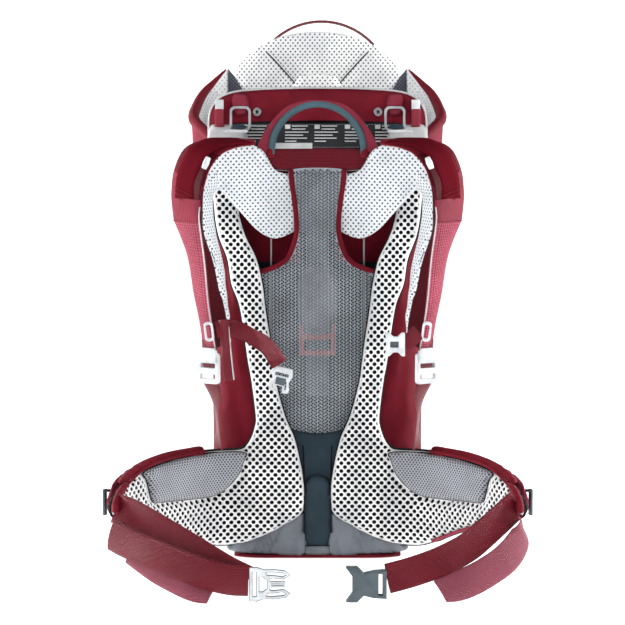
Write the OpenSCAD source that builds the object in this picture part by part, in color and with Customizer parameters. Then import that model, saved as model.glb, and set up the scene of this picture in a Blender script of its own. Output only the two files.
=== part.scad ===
// Framed child carrier worn on the back, standing on its base and on a folding
// kickstand. The wearer's side looks along -Y and the child sits on the +Y side.
// Z = 0 is the ground under the base, and X = 0 is the middle of the pack.
// Left is the side at negative X. Every right-hand piece is a mirror image.

/* [Frame] */
// Half width between the frame legs, to tube centres
frame_half_w = 126; // [120:1:130]
// Radius of the frame tube
frame_tube_r = 8; // [6:0.5:8]
// Height of the frame's top bar
frame_top_z = 596; // [590:1:600]
// Radius of the two thin back stays
stay_r = 1.6; // [1.2:0.2:3]

/* [Kickstand] */
// Height of the kickstand's pivots
pivot_z = 230; // [225:1:235]
// Distance of the kickstand's pivots behind the back plane
pivot_y = 162; // [160:1:164]
// Distance of the foot bar behind the back plane
foot_y = 280; // [278:1:284]
// Radius of the kickstand's tube
leg_r = 7; // [6:0.5:7]
// Radius of the pivot pins
pin_r = 4; // [3:0.5:4]

/* [Bag] */
// Half width of the storage bag
bag_half_w = 104; // [98:1:105]
// Height of the storage bag's top
bag_top_z = 285; // [275:1:286]
// Thickness of the cockpit's padded walls
wall_t = 8; // [5:1:10]

/* [Back pads] */
// Thickness of the lumbar pads
lumbar_t = 24; // [18:1:24]
// Thickness of the pads at shoulder height
column_t = 14; // [10:1:14]

/* [Straps] */
// Width of the waist webbing
waist_web_w = 38; // [34:1:40]
// Thickness of the webbing
web_t = 2.4; // [2:0.2:3]
// Thickness of the shoulder strap's padding at its leg
strap_pad_t = 8; // [6:1:8]

/* [Hidden] */
$fn = 48;

frame_y = 12;
frame_low_z = 22;
frame_bend_r = 40;
leg_x = bag_half_w + 23;
rail_x = bag_half_w + 8;
hinge_w = 12;
foot_bar_z = 8;
pin_gap = 0.05;
pad_back_y = -14;

maroon = "#7a2433";
pale_maroon = "#b05a6a";
mesh_white = "#dfe3e6";
slate = "#2c3a47";
satin_grey = "#9a9aa8";
light_plastic = "#c4c8ca";
dark_plastic = "#4a5458";

// A flat outline in X and Z, made solid between two depths.
module slab(outline, y_from, y_to) {
    translate([0, y_to, 0])
        rotate([90, 0, 0])
            linear_extrude(height = y_to - y_from)
                polygon(outline);
}

// A profile in Y and Z, made solid between two widths.
module profile_x(outline, x_from, x_to) {
    translate([x_from, 0, 0])
        rotate([90, 0, 90])
            linear_extrude(height = x_to - x_from)
                polygon(outline);
}

module upright(z_from, z_to) {
    translate([0, 0, z_from])
        linear_extrude(height = z_to - z_from)
            children();
}

module block(low, high) {
    translate(low)
        cube(high - low);
}

module rod(from, to, r) {
    d = to - from;
    translate(from)
        rotate([0, acos(d.z / norm(d)), atan2(d.y, d.x)])
            cylinder(h = norm(d), r = r);
}

module both_sides() {
    children();
    mirror([1, 0, 0])
        children();
}

function unit(v) = v / norm(v);
function mid(s) = (s[0] + s[1]) / 2;
function along(st, i) =
    unit(mid(st[min(i + 1, len(st) - 1)]) - mid(st[max(i - 1, 0)]));
function facing(st, i) = unit(cross(st[i][1] - st[i][0], along(st, i)));

// A flexible band between two edges. Each station is [edge, other edge, thickness],
// the face that is given is the outer one, and the thickness goes in behind it.
module band(st) {
    n = len(st);
    pts = [for (i = [0:n - 1])
        let (back = facing(st, i) * st[i][2])
            each [st[i][0], st[i][1], st[i][1] - back, st[i][0] - back]];
    walls = [for (i = [0:n - 2], j = [0:3])
        let (a = 4 * i + j, b = 4 * i + (j + 1) % 4)
            each [[a, b + 4, b], [a, a + 4, b + 4]]];
    last = 4 * (n - 1);
    ends = [[1, 2, 3], [0, 1, 3], [last + 2, last + 1, last], [last + 3, last + 2, last]];
    polyhedron(points = pts, faces = concat(walls, ends), convexity = 6);
}

// A strip of webbing of one width along a centre line, with its width given at each point
// as [centre, direction of the width].
module webbing(line, w, t) {
    band([for (p = line) [p[0] - unit(p[1]) * w / 2, p[0] + unit(p[1]) * w / 2, t]]);
}

// Two-sided offset of an open line in the plan, as a closed outline.
function heading(line, i) =
    unit(line[min(i + 1, len(line) - 1)] - line[max(i - 1, 0)]);
function beside(line, d) =
    [for (i = [0:len(line) - 1]) let (h = heading(line, i)) line[i] + [-h.y, h.x] * d];
function flip(list) = [for (i = [len(list) - 1:-1:0]) list[i]];
function strip_outline(line, d_near, d_far) =
    concat(beside(line, d_near), flip(beside(line, d_far)));

// ---------------------------------------------------------------- frame

module hoop_corner(x, z, turn) {
    translate([x, frame_y, z])
        rotate([90, turn, 0])
            rotate_extrude(angle = 90)
                translate([frame_bend_r, 0])
                    circle(r = frame_tube_r);
}

module frame_hoop() {
    w = frame_half_w;
    inner_w = w - frame_bend_r;
    color("silver") {
        for (x = [-w, w])
            rod([x, frame_y, frame_low_z + frame_bend_r], [x, frame_y, frame_top_z - frame_bend_r],
                frame_tube_r);
        for (z = [frame_low_z, frame_top_z])
            rod([-inner_w, frame_y, z], [inner_w, frame_y, z], frame_tube_r);
        hoop_corner(inner_w, frame_top_z - frame_bend_r, 0);
        hoop_corner(-inner_w, frame_top_z - frame_bend_r, -90);
        hoop_corner(-inner_w, frame_low_z + frame_bend_r, 180);
        hoop_corner(inner_w, frame_low_z + frame_bend_r, 90);
    }
}

// One side rail, from a saddle behind the frame leg to the kickstand's pivot eye.
module frame_rail() {
    rail_r = 6;
    eye_r = 13;
    color("silver")
        difference() {
            union() {
                rod([-rail_x, 34, pivot_z], [-rail_x, pivot_y, pivot_z], rail_r);
                translate([-rail_x - hinge_w / 2, pivot_y, pivot_z])
                    rotate([0, 90, 0])
                        cylinder(h = hinge_w, r = eye_r);
            }
            translate([-rail_x - hinge_w, pivot_y, pivot_z])
                rotate([0, 90, 0])
                    cylinder(h = 2 * hinge_w, r = pin_r + pin_gap);
        }
}

module back_stays() {
    stay_x = 62;
    color("silver")
        for (x = [-stay_x, stay_x])
            rod([x, 0, 50], [x, 0, 590], stay_r);
}

module slide_rail() {
    color(dark_plastic)
        block([-14, -2, 215], [14, 2, 560]);
}

module base_board() {
    color(maroon)
        slab([[-104, 0], [104, 0], [112, 4], [112, 9], [-112, 9], [-112, 4]], -36, 33);
}

// ------------------------------------------------------------ kickstand

module kickstand() {
    bend = 24;
    foot_in = leg_x - bend;
    lean = atan2(foot_y - pivot_y, pivot_z - foot_bar_z);
    reach = norm([foot_y - pivot_y, pivot_z - foot_bar_z]);
    eye_r = 12;
    color("silver")
        difference() {
            translate([0, pivot_y, pivot_z])
                rotate([lean, 0, 0])
                    union() {
                        for (x = [-leg_x, leg_x]) {
                            rod([x, 0, -reach + bend], [x, 0, 0], leg_r);
                            translate([x - leg_r, 0, 0])
                                rotate([0, 90, 0])
                                    cylinder(h = 2 * leg_r, r = eye_r);
                        }
                        rod([-foot_in, 0, -reach], [foot_in, 0, -reach], leg_r);
                        for (side = [0, 1])
                            mirror([side, 0, 0])
                                translate([foot_in, 0, -reach + bend])
                                    rotate([90, 90, 0])
                                        rotate_extrude(angle = 90)
                                            translate([bend, 0])
                                                circle(r = leg_r);
                    }
            translate([-leg_x - 20, pivot_y, pivot_z])
                rotate([0, 90, 0])
                    cylinder(h = 2 * leg_x + 40, r = pin_r);
        }
}

module kickstand_pins() {
    color("silver")
        both_sides()
            translate([-leg_x - leg_r - 2, pivot_y, pivot_z])
                rotate([0, 90, 0])
                    cylinder(h = leg_x + leg_r + 2 - rail_x + hinge_w / 2 - 1, r = pin_r);
}

// Two rubber sleeves on the foot bar.
module foot_grips() {
    color("#303438")
        for (x = [-70, 70])
            translate([x - 15, foot_y, foot_bar_z])
                rotate([0, 90, 0])
                    difference() {
                        cylinder(h = 30, r = foot_bar_z);
                        translate([0, 0, -1])
                            cylinder(h = 32, r = leg_r);
                    }
}

// ------------------------------------------------------- bag and cockpit

module bag_body() {
    color(maroon)
        profile_x([[36, 60], [66, 34], [120, 26], [185, 32], [208, 70], [214, 150], [206, bag_top_z],
            [112, bag_top_z], [106, 158], [36, 150]], -bag_half_w, bag_half_w);
}

module back_panel() {
    color(maroon)
        slab([[-120, 34], [120, 34], [124, 120], [122, 560], [-122, 560], [-124, 120]], 21, 32);
}

// The fabric wing that wraps a frame leg, open towards the middle.
module side_sleeve() {
    color(maroon)
        upright(66, 512)
            polygon([[-96, -4], [-112, -9], [-128, -9], [-137, -3], [-140, 8], [-140, 32],
                [-137.5, 32], [-137.5, 8], [-135, -1], [-127, -6.5], [-112, -6.5], [-97, -1.5]]);
}

module cockpit_side() {
    color(pale_maroon)
        band([
            [[-126, 33, 292], [-147, 33, 566], wall_t], [[-131, 60, 292], [-171, 60, 583], wall_t],
            [[-132, 95, 292], [-168, 95, 602], wall_t], [[-131, 130, 292], [-160, 122, 620], wall_t],
            [[-128, 165, 292], [-144, 146, 638], wall_t], [[-124, 198, 292], [-130, 160, 652], wall_t]
        ]);
}

module cockpit_rear() {
    color(maroon)
        slab([[-126, 290], [126, 290], [124, 610], [116, 638], [96, 660], [72, 680], [42, 694],
            [-42, 694], [-72, 680], [-96, 660], [-116, 638], [-124, 610]], 207, 214);
}

module rear_pocket() {
    color(pale_maroon)
        profile_x([[214.5, 300], [236, 312], [242, 400], [236, 540], [214.5, 560]], -96, 96);
}

module headrest() {
    color(mesh_white)
        slab([[-116, 566], [116, 566], [124, 600], [125, 640], [115, 659], [100, 672], [76, 690],
            [50, 701], [20, 706], [-20, 706], [-50, 701], [-76, 690], [-100, 672], [-115, 659],
            [-125, 640], [-124, 600]], 168, 206);
}

module chin_pad() {
    color(mesh_white)
        slab([[-34, 560], [34, 560], [34, 628], [24, 644], [0, 648], [-24, 644], [-34, 628]], 33, 50);
}

// The stiff front wall of the cockpit.
module front_panel() {
    color(maroon)
        slab([[-60, 519], [60, 519], [112, 530], [140, 545], [144, 580], [138, 604], [115, 620],
            [52, 626], [-52, 626], [-115, 620], [-138, 604], [-144, 580], [-140, 545], [-112, 530]],
            -12, -4);
}

module label_patch() {
    color("#16181c")
        slab([[-112, 547], [112, 547], [112, 580], [-112, 580]], -13.2, -12);
}

module rear_handle() {
    arch_r = 102;
    arch_z = 619;
    half_angle = 48;
    color(maroon)
        translate([6, 239, arch_z])
            rotate([90, 0, 0])
                rotate([0, 0, 90 - half_angle])
                    rotate_extrude(angle = 2 * half_angle)
                        translate([arch_r - 3, 0])
                            square([4, 24.5]);
}

// -------------------------------------------------- front panel hardware

module grab_handle() {
    arch_r = 60;
    color(slate) {
        translate([0, -30, 549])
            rotate([90, 0, 0])
                rotate_extrude(angle = 180)
                    translate([arch_r, 0])
                        circle(r = 7);
        for (x = [-arch_r, arch_r])
            rod([x, -30, 540], [x, -30, 549], 7);
    }
}

// A square ring seen from the wearer's side, hanging from its tab.
module ring_at(x) {
    color(light_plastic)
        translate([x, -15.6, 586])
            rotate([90, 0, 0])
                linear_extrude(height = 4)
                    difference() {
                        square([26, 31], center = true);
                        square([19, 22], center = true);
                    }
}

module rings() {
    both_sides()
        ring_at(-102);
}

module ring_tabs() {
    color(pale_maroon)
        both_sides()
            slab([[-111, 594], [-93, 594], [-93, 616], [-111, 616]], -15.2, -13.2);
}

module frame_screws() {
    color("silver")
        both_sides()
            translate([-80, -12, 596])
                rotate([90, 0, 0])
                    cylinder(h = 3, r = 7);
}

module canopy_sockets() {
    color(light_plastic)
        both_sides()
            difference() {
                block([-135, -21, 584], [-124, -12, 611]);
                block([-132.2, -19.8, 590], [-126.8, -13.8, 612]);
            }
}

// ------------------------------------------------------ seat and harness

module seat_saddle() {
    color(slate)
        upright(296, 316)
            polygon([[-40, 58], [40, 58], [46, 100], [92, 120], [96, 190], [88, 202], [-88, 202],
                [-96, 190], [-92, 120], [-46, 100]]);
}

// The webbing that carries the front of the seat from the back panel.
module seat_strap() {
    color(maroon)
        band([
            [[15, 33, 372], [-15, 33, 372], web_t], [[15, 40, 350], [-15, 40, 350], web_t],
            [[15, 50, 325], [-15, 50, 325], web_t], [[15, 55.2, 306], [-15, 55.2, 306], web_t]
        ]);
}

module harness_straps() {
    color(slate)
        both_sides()
            band([
                [[-56, 203, 560], [-26, 203, 560], 8], [[-54, 196, 500], [-24, 196, 500], 8],
                [[-50, 178, 440], [-20, 178, 440], 8], [[-42, 160, 408], [-13, 160, 402], 7],
                [[-34, 148, 394], [-12, 148, 389], 5]
            ]);
}

module harness_buckle() {
    color(dark_plastic)
        difference() {
            translate([0, 146, 372])
                rotate([70, 0, 0])
                    cylinder(h = 14, r = 20, center = true);
            translate([0, 146, 372])
                rotate([70, 0, 0])
                    cylinder(h = 12, r = 9.4);
        }
}

module harness_button() {
    color("#b0202c")
        translate([0, 146, 372])
            rotate([70, 0, 0])
                translate([0, 0, 3.2])
                    cylinder(h = 6, r = 9);
}

module stirrup_straps() {
    color(maroon)
        both_sides()
            block([-108, 58, 112], [-106, 83, 223]);
}

module stirrup() {
    color(maroon)
        translate([-112.6, 0, 0])
            rotate([90, 0, 90])
                linear_extrude(height = 4.2)
                    difference() {
                        polygon([[40, 96], [82, 96], [90, 104], [90, 150], [80, 168], [46, 168],
                            [36, 150], [36, 104]]);
                        polygon([[45, 102], [78, 102], [84, 108], [84, 138], [78, 146], [47, 146],
                            [42, 138], [42, 108]]);
                    }
}

// ----------------------------------------------------------- back system

net_outline = [[-34, 519], [34, 519], [34, 500], [28, 459], [28, 432], [39, 399], [74, 381],
    [88, 330], [76, 250], [60, 195], [40, 168], [20, 160], [0, 158], [-20, 160], [-40, 168],
    [-60, 195], [-76, 250], [-88, 330], [-74, 381], [-39, 399], [-28, 432], [-28, 459], [-34, 500]];

module back_net() {
    color("#8d9498")
        slab(net_outline, -13.5, -11.5);
}

module lumbar_panel() {
    color(slate)
        slab([[-58, 14], [58, 14], [58, 205], [-58, 205]], -10, -6);
}

module lumbar_base() {
    color(satin_grey)
        slab([[-116, 10], [116, 10], [116, 19], [78, 27], [25, 58], [17, 64], [16.5, 150],
            [-16.5, 150], [-17, 64], [-25, 58], [-78, 27], [-116, 19]], -34, -14.5);
}

// One back pad, a column that widens into a lumbar lobe.
module back_pad() {
    color(mesh_white)
        intersection() {
            slab([[-124, 21], [-78, 30], [-26, 61], [-18, 67], [-18, 94], [-22, 121], [-31, 162],
                [-43, 191], [-56, 235], [-60, 264], [-69, 334], [-73, 367], [-81, 401], [-96, 434],
                [-104, 468], [-104, 512], [-134, 512], [-134, 468], [-129, 434], [-118, 401],
                [-113, 367], [-102, 334], [-92, 264], [-87, 235], [-82, 191], [-86, 170],
                [-98, 148], [-124, 148]], -60, pad_back_y);
            profile_x([[pad_back_y, 0], [pad_back_y, 600], [pad_back_y - column_t, 600],
                [pad_back_y - column_t, 370], [pad_back_y - lumbar_t, 200],
                [pad_back_y - lumbar_t, 0]], -150, 0);
        }
}

// ------------------------------------------------------------- waist belt

// Plan of the fin's wearer side, from the lumbar pad forward to its tip.
fin_line = [[-126, -44], [-150, -58], [-182, -92], [-210, -130], [-236, -170], [-248, -202]];
fin_t = 14;
pocket_t = 13.4;
pocket_gap = 0.6;

module hip_fin() {
    color(mesh_white)
        intersection() {
            upright(10, 170)
                polygon(strip_outline(fin_line, 0, -fin_t));
            slab([[-124, 20], [-124, 148], [-150, 151], [-184, 151], [-224, 146], [-260, 134],
                [-280, 105], [-262, 72], [-205, 45], [-150, 24]], -240, 20);
        }
}

module hip_pocket() {
    color(pale_maroon)
        intersection() {
            upright(56, 156)
                polygon(strip_outline([for (i = [1:5]) fin_line[i]], -fin_t - pocket_gap,
                    -fin_t - pocket_gap - pocket_t));
            slab([[-140, 76], [-152, 152], [-200, 155], [-262, 149], [-290, 120], [-290, 80],
                [-270, 62], [-200, 60]], -240, 20);
        }
}

module zip_pull() {
    color(dark_plastic)
        translate([-270.8, -175, 86])
            rotate([0, 0, -20.4])
                block([-1.5, -4, 0], [1.5, 4, 34]);
}

// The waist webbing runs from the fin's tip down to the ground and on to its buckle,
// and its free end lies behind it.
waist_route = [[[-250, -212, 104], [0.3, 0, 1]], [[-216, -240, 86], [0.3, 0.1, 1]],
    [[-170, -264, 66], [0.2, 0.1, 1]], [[-126, -282, 44], [0.1, 0.05, 1]], [[-86, -290, 25], [0, 0, 1]]];
tail_route = [[[-257, -206, 86], [0.8, 0, 0.6]], [[-240, -224, 58], [0.8, 0, 0.6]],
    [[-198, -246, 48], [0.6, 0, 0.8]], [[-178, -258, 32], [0.45, 0.1, 0.9]],
    [[-150, -272, 13], [0.35, 0.8, 0.6]], [[-122, -277, 5], [0.2, 1, 0.1]]];

module waist_webbing() {
    color(maroon) {
        webbing(waist_route, waist_web_w, web_t);
        webbing(tail_route, waist_web_w, web_t);
    }
}

// Side-release tongue: a bar for the webbing, a guide and two spring prongs.
module waist_buckle_tongue() {
    color(light_plastic)
        translate([-84, -288, 3])
            rotate([90, 0, 0])
                linear_extrude(height = 7)
                    difference() {
                        polygon([[0, 0], [10, 0], [24, 3], [44, 3], [50, 9], [40, 14], [26, 12],
                            [26, 17], [44, 17], [44, 24], [26, 24], [26, 29], [40, 27], [50, 32],
                            [44, 38], [24, 38], [10, 41], [0, 41]]);
                        translate([4, 6])
                            square([5, 29]);
                    }
}

module waist_buckle_socket() {
    color(dark_plastic)
        translate([34, -285, 2])
            rotate([90, 0, 0])
                difference() {
                    linear_extrude(height = 13)
                        polygon([[0, 0], [14, 0], [22, 8], [34, 5], [50, 4], [50, 39], [34, 38],
                            [22, 35], [14, 43], [0, 43], [8, 32], [8, 11]]);
                    translate([-1, 10, 3.5])
                        cube([32, 23, 6]);
                    translate([40, 8, -1])
                        cube([5, 27, 15]);
                }
}

// --------------------------------------------- shoulder straps and yoke

// A carriage with a C section that runs on the flat slide rail.
module yoke() {
    color(dark_plastic)
        upright(436, 512)
            polygon([[-29.5, -8.6], [29.5, -8.6], [29.5, -2.6], [18, -2.6], [18, 5.6], [6, 5.6],
                [6, 2.4], [14.4, 2.4], [14.4, -2.4], [-14.4, -2.4], [-14.4, 2.4], [-6, 2.4],
                [-6, 5.6], [-18, 5.6], [-18, -2.6], [-29.5, -2.6]]);
}

// The pull loop under the carriage that sets the back length.
module pull_tab() {
    color("#e07a68")
        difference() {
            slab([[-24, 270], [24, 270], [24, 312], [22, 318], [22, 436], [-22, 436], [-22, 318],
                [-24, 312]], -8, -5);
            slab([[-17, 277], [17, 277], [17, 292], [-17, 292]], -9, -4);
        }
}

strap_pad_line = [
    [[-30, -9, 436], [-30, -9, 512], 6], [[-54, -15, 427], [-54, -20, 518], 7],
    [[-75, -32, 438], [-70, -38, 544], 9], [[-94, -46, 459], [-90, -62, 555], 10],
    [[-111, -58, 479], [-108, -82, 554], 9], [[-126, -65, 494], [-126, -94, 542], strap_pad_t],
    [[-134, -68, 488], [-140, -106, 522], strap_pad_t], [[-136, -70, 474], [-149, -115, 492], strap_pad_t],
    [[-132, -70, 440], [-149, -118, 442], strap_pad_t], [[-124, -67, 404], [-138, -112, 408], strap_pad_t],
    [[-120, -63, 369], [-128, -104, 374], 7], [[-118, -68, 330], [-122, -96, 338], 6],
    [[-117, -82, 298], [-118, -92, 298], 4]];

strap_cover_line = [
    [[-86, -64, 567], [-86, -38, 567], 4], [[-112, -90, 564], [-118, -52, 567], 4],
    [[-133, -109, 556], [-150, -66, 563], 4], [[-146, -122, 539], [-174, -78, 549], 5],
    [[-152, -129, 510], [-187, -90, 520], 5], [[-152, -131, 480], [-190, -95, 490], 5],
    [[-152, -131, 457], [-187, -97, 457], 5], [[-146, -128, 407], [-170, -97, 412], 5],
    [[-142, -122, 356], [-162, -94, 362], 5], [[-138, -116, 324], [-155, -90, 326], 4],
    [[-133, -108, 290], [-150, -86, 290], 4]];

// A shoulder strap: the padded layer and the outer cover that carries the load.
module shoulder_strap() {
    color(mesh_white)
        band(strap_pad_line);
    color(maroon)
        band(strap_cover_line);
}

// The ladder-lock under a strap, through which the lower webbing is pulled.
module ladder_lock() {
    translate([-152, -96, 246])
        rotate([0, 0, -32])
            difference() {
                block([0, -9, 0], [32, 0, 40]);
                block([4, -10, 6], [28, -3.5, 13]);
                block([4, -10, 20], [28, -3.5, 27]);
            }
}

// The adjuster on top of a strap, which takes the load-lifter webbing.
module lifter_lock() {
    block([-124, -44, 560], [-92, -36, 563.6]);
}

module strap_buckles() {
    color(light_plastic)
        both_sides() {
            ladder_lock();
            translate([0, 0, 8])
                lifter_lock();
        }
}

module load_lifters() {
    color(slate)
        both_sides()
            band([
                [[-112, -21, 577], [-92, -21, 577], 1.4], [[-114, -27, 574], [-94, -27, 574], 1.4],
                [[-117, -34, 572.5], [-97, -34, 572.5], 1.2]
            ]);
}

module lower_webbing() {
    color(maroon)
        webbing([[[-138, -99, 244], [1, -0.6, 0]], [[-134, -82, 210], [1, -0.6, 0]],
            [[-131, -64, 176], [1, -0.6, 0]], [[-131, -56, 154], [1, -0.5, 0]]], 24, 2);
}

// The clip that runs on the front edge of a strap, tilted as that edge is.
module sternum_clip() {
    color(light_plastic)
        translate([-137, -114.5, 317])
            rotate([9.7, -6.3, 0])
                block([-9, -13, -13], [9, -3, 13]);
}

// A chest strap on the wearer's left, with its sliding clip and the tongue on its end.
module sternum_strap_left() {
    sternum_clip();
    color(maroon)
        webbing([[[-130, -125, 318], [0.15, 0, 1]], [[-110, -122, 320], [0.35, 0, 1]],
            [[-88, -112, 309], [0.5, 0, 1]], [[-66, -98, 293], [0.8, 0.1, 0.9]],
            [[-50, -84, 268], [1, 0, 0.45]]], 22, web_t);
    color(maroon)
        webbing([[[-121, -126, 331], [1, -0.2, 0]], [[-119, -127, 300], [1, -0.2, 0]],
            [[-114, -126, 252], [1, -0.2, 0]]], 13, web_t);
    color(light_plastic)
        translate([-64.5, -84, 235])
            rotate([0, 14, 0])
                difference() {
                    block([0, 0, 0], [26, 7, 32]);
                    block([5, -1, -1], [10, 8, 18]);
                    block([16, -1, -1], [21, 8, 18]);
                }
}

// The chest strap on the wearer's right, with its sliding clip and the socket.
module sternum_strap_right() {
    mirror([1, 0, 0])
        sternum_clip();
    color(maroon)
        webbing([[[130, -124, 315], [-0.2, 0, 1]], [[120, -126, 306], [-0.3, 0, 1]],
            [[110, -126, 298], [-0.3, 0, 1]]], 22, web_t);
    color(light_plastic)
        translate([86, -130, 284])
            difference() {
                cube([26, 10, 30]);
                translate([-1, 2.5, 5])
                    cube([20, 5, 20]);
            }
}

frame_hoop();
frame_rail();  // frame_rail_left
mirror([1, 0, 0]) frame_rail();  // frame_rail_right
back_stays();
slide_rail();
base_board();
kickstand();
kickstand_pins();
foot_grips();
bag_body();
back_panel();
side_sleeve();  // side_sleeve_left
mirror([1, 0, 0]) side_sleeve();  // side_sleeve_right
cockpit_side();  // cockpit_side_left
mirror([1, 0, 0]) cockpit_side();  // cockpit_side_right
cockpit_rear();
rear_pocket();
headrest();
chin_pad();
front_panel();
label_patch();
rear_handle();
grab_handle();
rings();
ring_tabs();
frame_screws();
canopy_sockets();
seat_saddle();
seat_strap();
harness_straps();
harness_buckle();
harness_button();
stirrup_straps();
stirrup();  // stirrup_left
mirror([1, 0, 0]) stirrup();  // stirrup_right
back_net();
lumbar_panel();
lumbar_base();
back_pad();  // back_pad_left
mirror([1, 0, 0]) back_pad();  // back_pad_right
hip_fin();  // hip_fin_left
mirror([1, 0, 0]) hip_fin();  // hip_fin_right
hip_pocket();  // hip_pocket_left
mirror([1, 0, 0]) hip_pocket();  // hip_pocket_right
zip_pull();  // zip_pull_left
mirror([1, 0, 0]) zip_pull();  // zip_pull_right
waist_webbing();  // waist_webbing_left
mirror([1, 0, 0]) waist_webbing();  // waist_webbing_right
waist_buckle_tongue();
waist_buckle_socket();
yoke();
pull_tab();
shoulder_strap();  // shoulder_strap_left
mirror([1, 0, 0]) shoulder_strap();  // shoulder_strap_right
strap_buckles();
load_lifters();
lower_webbing();  // lower_webbing_left
mirror([1, 0, 0]) lower_webbing();  // lower_webbing_right
sternum_strap_left();
sternum_strap_right();
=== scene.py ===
"""Looks of the framed child carrier: soft goods, hardware finishes, light and camera."""
import math

import bmesh
import bpy
import numpy as np
from mathutils import Euler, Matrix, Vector, noise
from mathutils.geometry import delaunay_2d_cdt


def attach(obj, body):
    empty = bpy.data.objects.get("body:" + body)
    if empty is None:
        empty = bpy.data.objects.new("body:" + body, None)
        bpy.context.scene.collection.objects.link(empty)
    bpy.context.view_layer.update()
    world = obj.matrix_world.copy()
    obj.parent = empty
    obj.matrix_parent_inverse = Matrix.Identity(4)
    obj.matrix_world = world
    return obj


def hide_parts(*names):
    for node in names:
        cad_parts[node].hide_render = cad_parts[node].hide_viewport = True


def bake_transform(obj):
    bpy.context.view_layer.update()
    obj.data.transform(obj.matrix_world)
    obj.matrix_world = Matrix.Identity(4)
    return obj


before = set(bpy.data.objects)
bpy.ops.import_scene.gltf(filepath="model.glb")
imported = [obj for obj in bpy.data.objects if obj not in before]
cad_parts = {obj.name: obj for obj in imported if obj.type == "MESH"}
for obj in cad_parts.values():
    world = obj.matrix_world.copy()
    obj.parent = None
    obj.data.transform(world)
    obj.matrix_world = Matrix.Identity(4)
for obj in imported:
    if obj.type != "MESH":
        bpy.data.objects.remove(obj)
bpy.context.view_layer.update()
MM = 0.001
LEFT, RIGHT = -1, 1
SIDES = ((LEFT, "left"), (RIGHT, "right"))


def both_sides(build):
    """Builds the left one and then the right one of a pair."""
    for side, word in SIDES:
        build(side, word)


def once(side, *nodes):
    """The CAD nodes that a pair stands for together: the left piece takes them."""
    return nodes if side == LEFT else ()


# ------------------------------------------------------------------ materials


class Nodes:
    """A short way to write a material's node tree."""

    def __init__(self, name):
        self.mat = bpy.data.materials.new(name)
        self.mat.use_nodes = True
        self.tree = self.mat.node_tree
        self.shader = self.tree.nodes["Principled BSDF"]

    def add(self, kind, **values):
        node = self.tree.nodes.new(kind)
        for key, value in values.items():
            if hasattr(node, key):
                setattr(node, key, value)
            else:
                node.inputs[key.replace("_", " ").capitalize()].default_value = value
        return node

    def link(self, out, into):
        self.tree.links.new(out, into)

    def math(self, kind, a, b=None, c=None):
        node = self.tree.nodes.new("ShaderNodeMath")
        node.operation = kind
        for socket, value in zip(node.inputs, (a, b, c)):
            if value is None:
                continue
            if isinstance(value, (int, float)):
                socket.default_value = value
            else:
                self.link(value, socket)
        return node.outputs[0]

    def coords(self, kind="Object"):
        return self.add("ShaderNodeTexCoord").outputs[kind]

    def split(self, vector):
        node = self.add("ShaderNodeSeparateXYZ")
        self.link(vector, node.inputs[0])
        return node.outputs

    def noise(self, vector, scale, detail=4.0, rough=0.6):
        node = self.add("ShaderNodeTexNoise")
        node.inputs["Scale"].default_value = scale
        node.inputs["Detail"].default_value = detail
        node.inputs["Roughness"].default_value = rough
        self.link(vector, node.inputs["Vector"])
        return node.outputs["Fac"]

    def mix(self, factor, a, b):
        node = self.tree.nodes.new("ShaderNodeMix")
        node.data_type = "RGBA"
        for socket, value in ((node.inputs[0], factor), (node.inputs[6], a), (node.inputs[7], b)):
            if isinstance(value, (tuple, list)):
                socket.default_value = (*value[:3], 1)
            elif isinstance(value, (int, float)):
                socket.default_value = value
            else:
                self.link(value, socket)
        return node.outputs[2]

    def range(self, value, low, high, out_low=0.0, out_high=1.0):
        node = self.add("ShaderNodeMapRange")
        node.interpolation_type = "SMOOTHSTEP"
        self.link(value, node.inputs[0])
        for i, v in enumerate((low, high, out_low, out_high)):
            node.inputs[i + 1].default_value = v
        return node.outputs[0]

    def bump(self, height, distance, strength=1.0):
        node = self.add("ShaderNodeBump")
        node.inputs["Strength"].default_value = strength
        node.inputs["Distance"].default_value = distance
        self.link(height, node.inputs["Height"])
        self.link(node.outputs[0], self.shader.inputs["Normal"])

    def set(self, **values):
        for key, value in values.items():
            socket = self.shader.inputs[key.replace("_", " ")]
            socket.default_value = (*value, 1) if isinstance(value, tuple) else value

    def wave(self, axis, pitch):
        """A sine along one axis, from -1 to 1, one period per pitch."""
        return self.math("SINE", self.math("MULTIPLY", axis, 2 * math.pi / pitch))


def shades(color, dark=0.72, light=1.25):
    return tuple(c * dark for c in color), tuple(min(1, c * light) for c in color)


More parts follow.
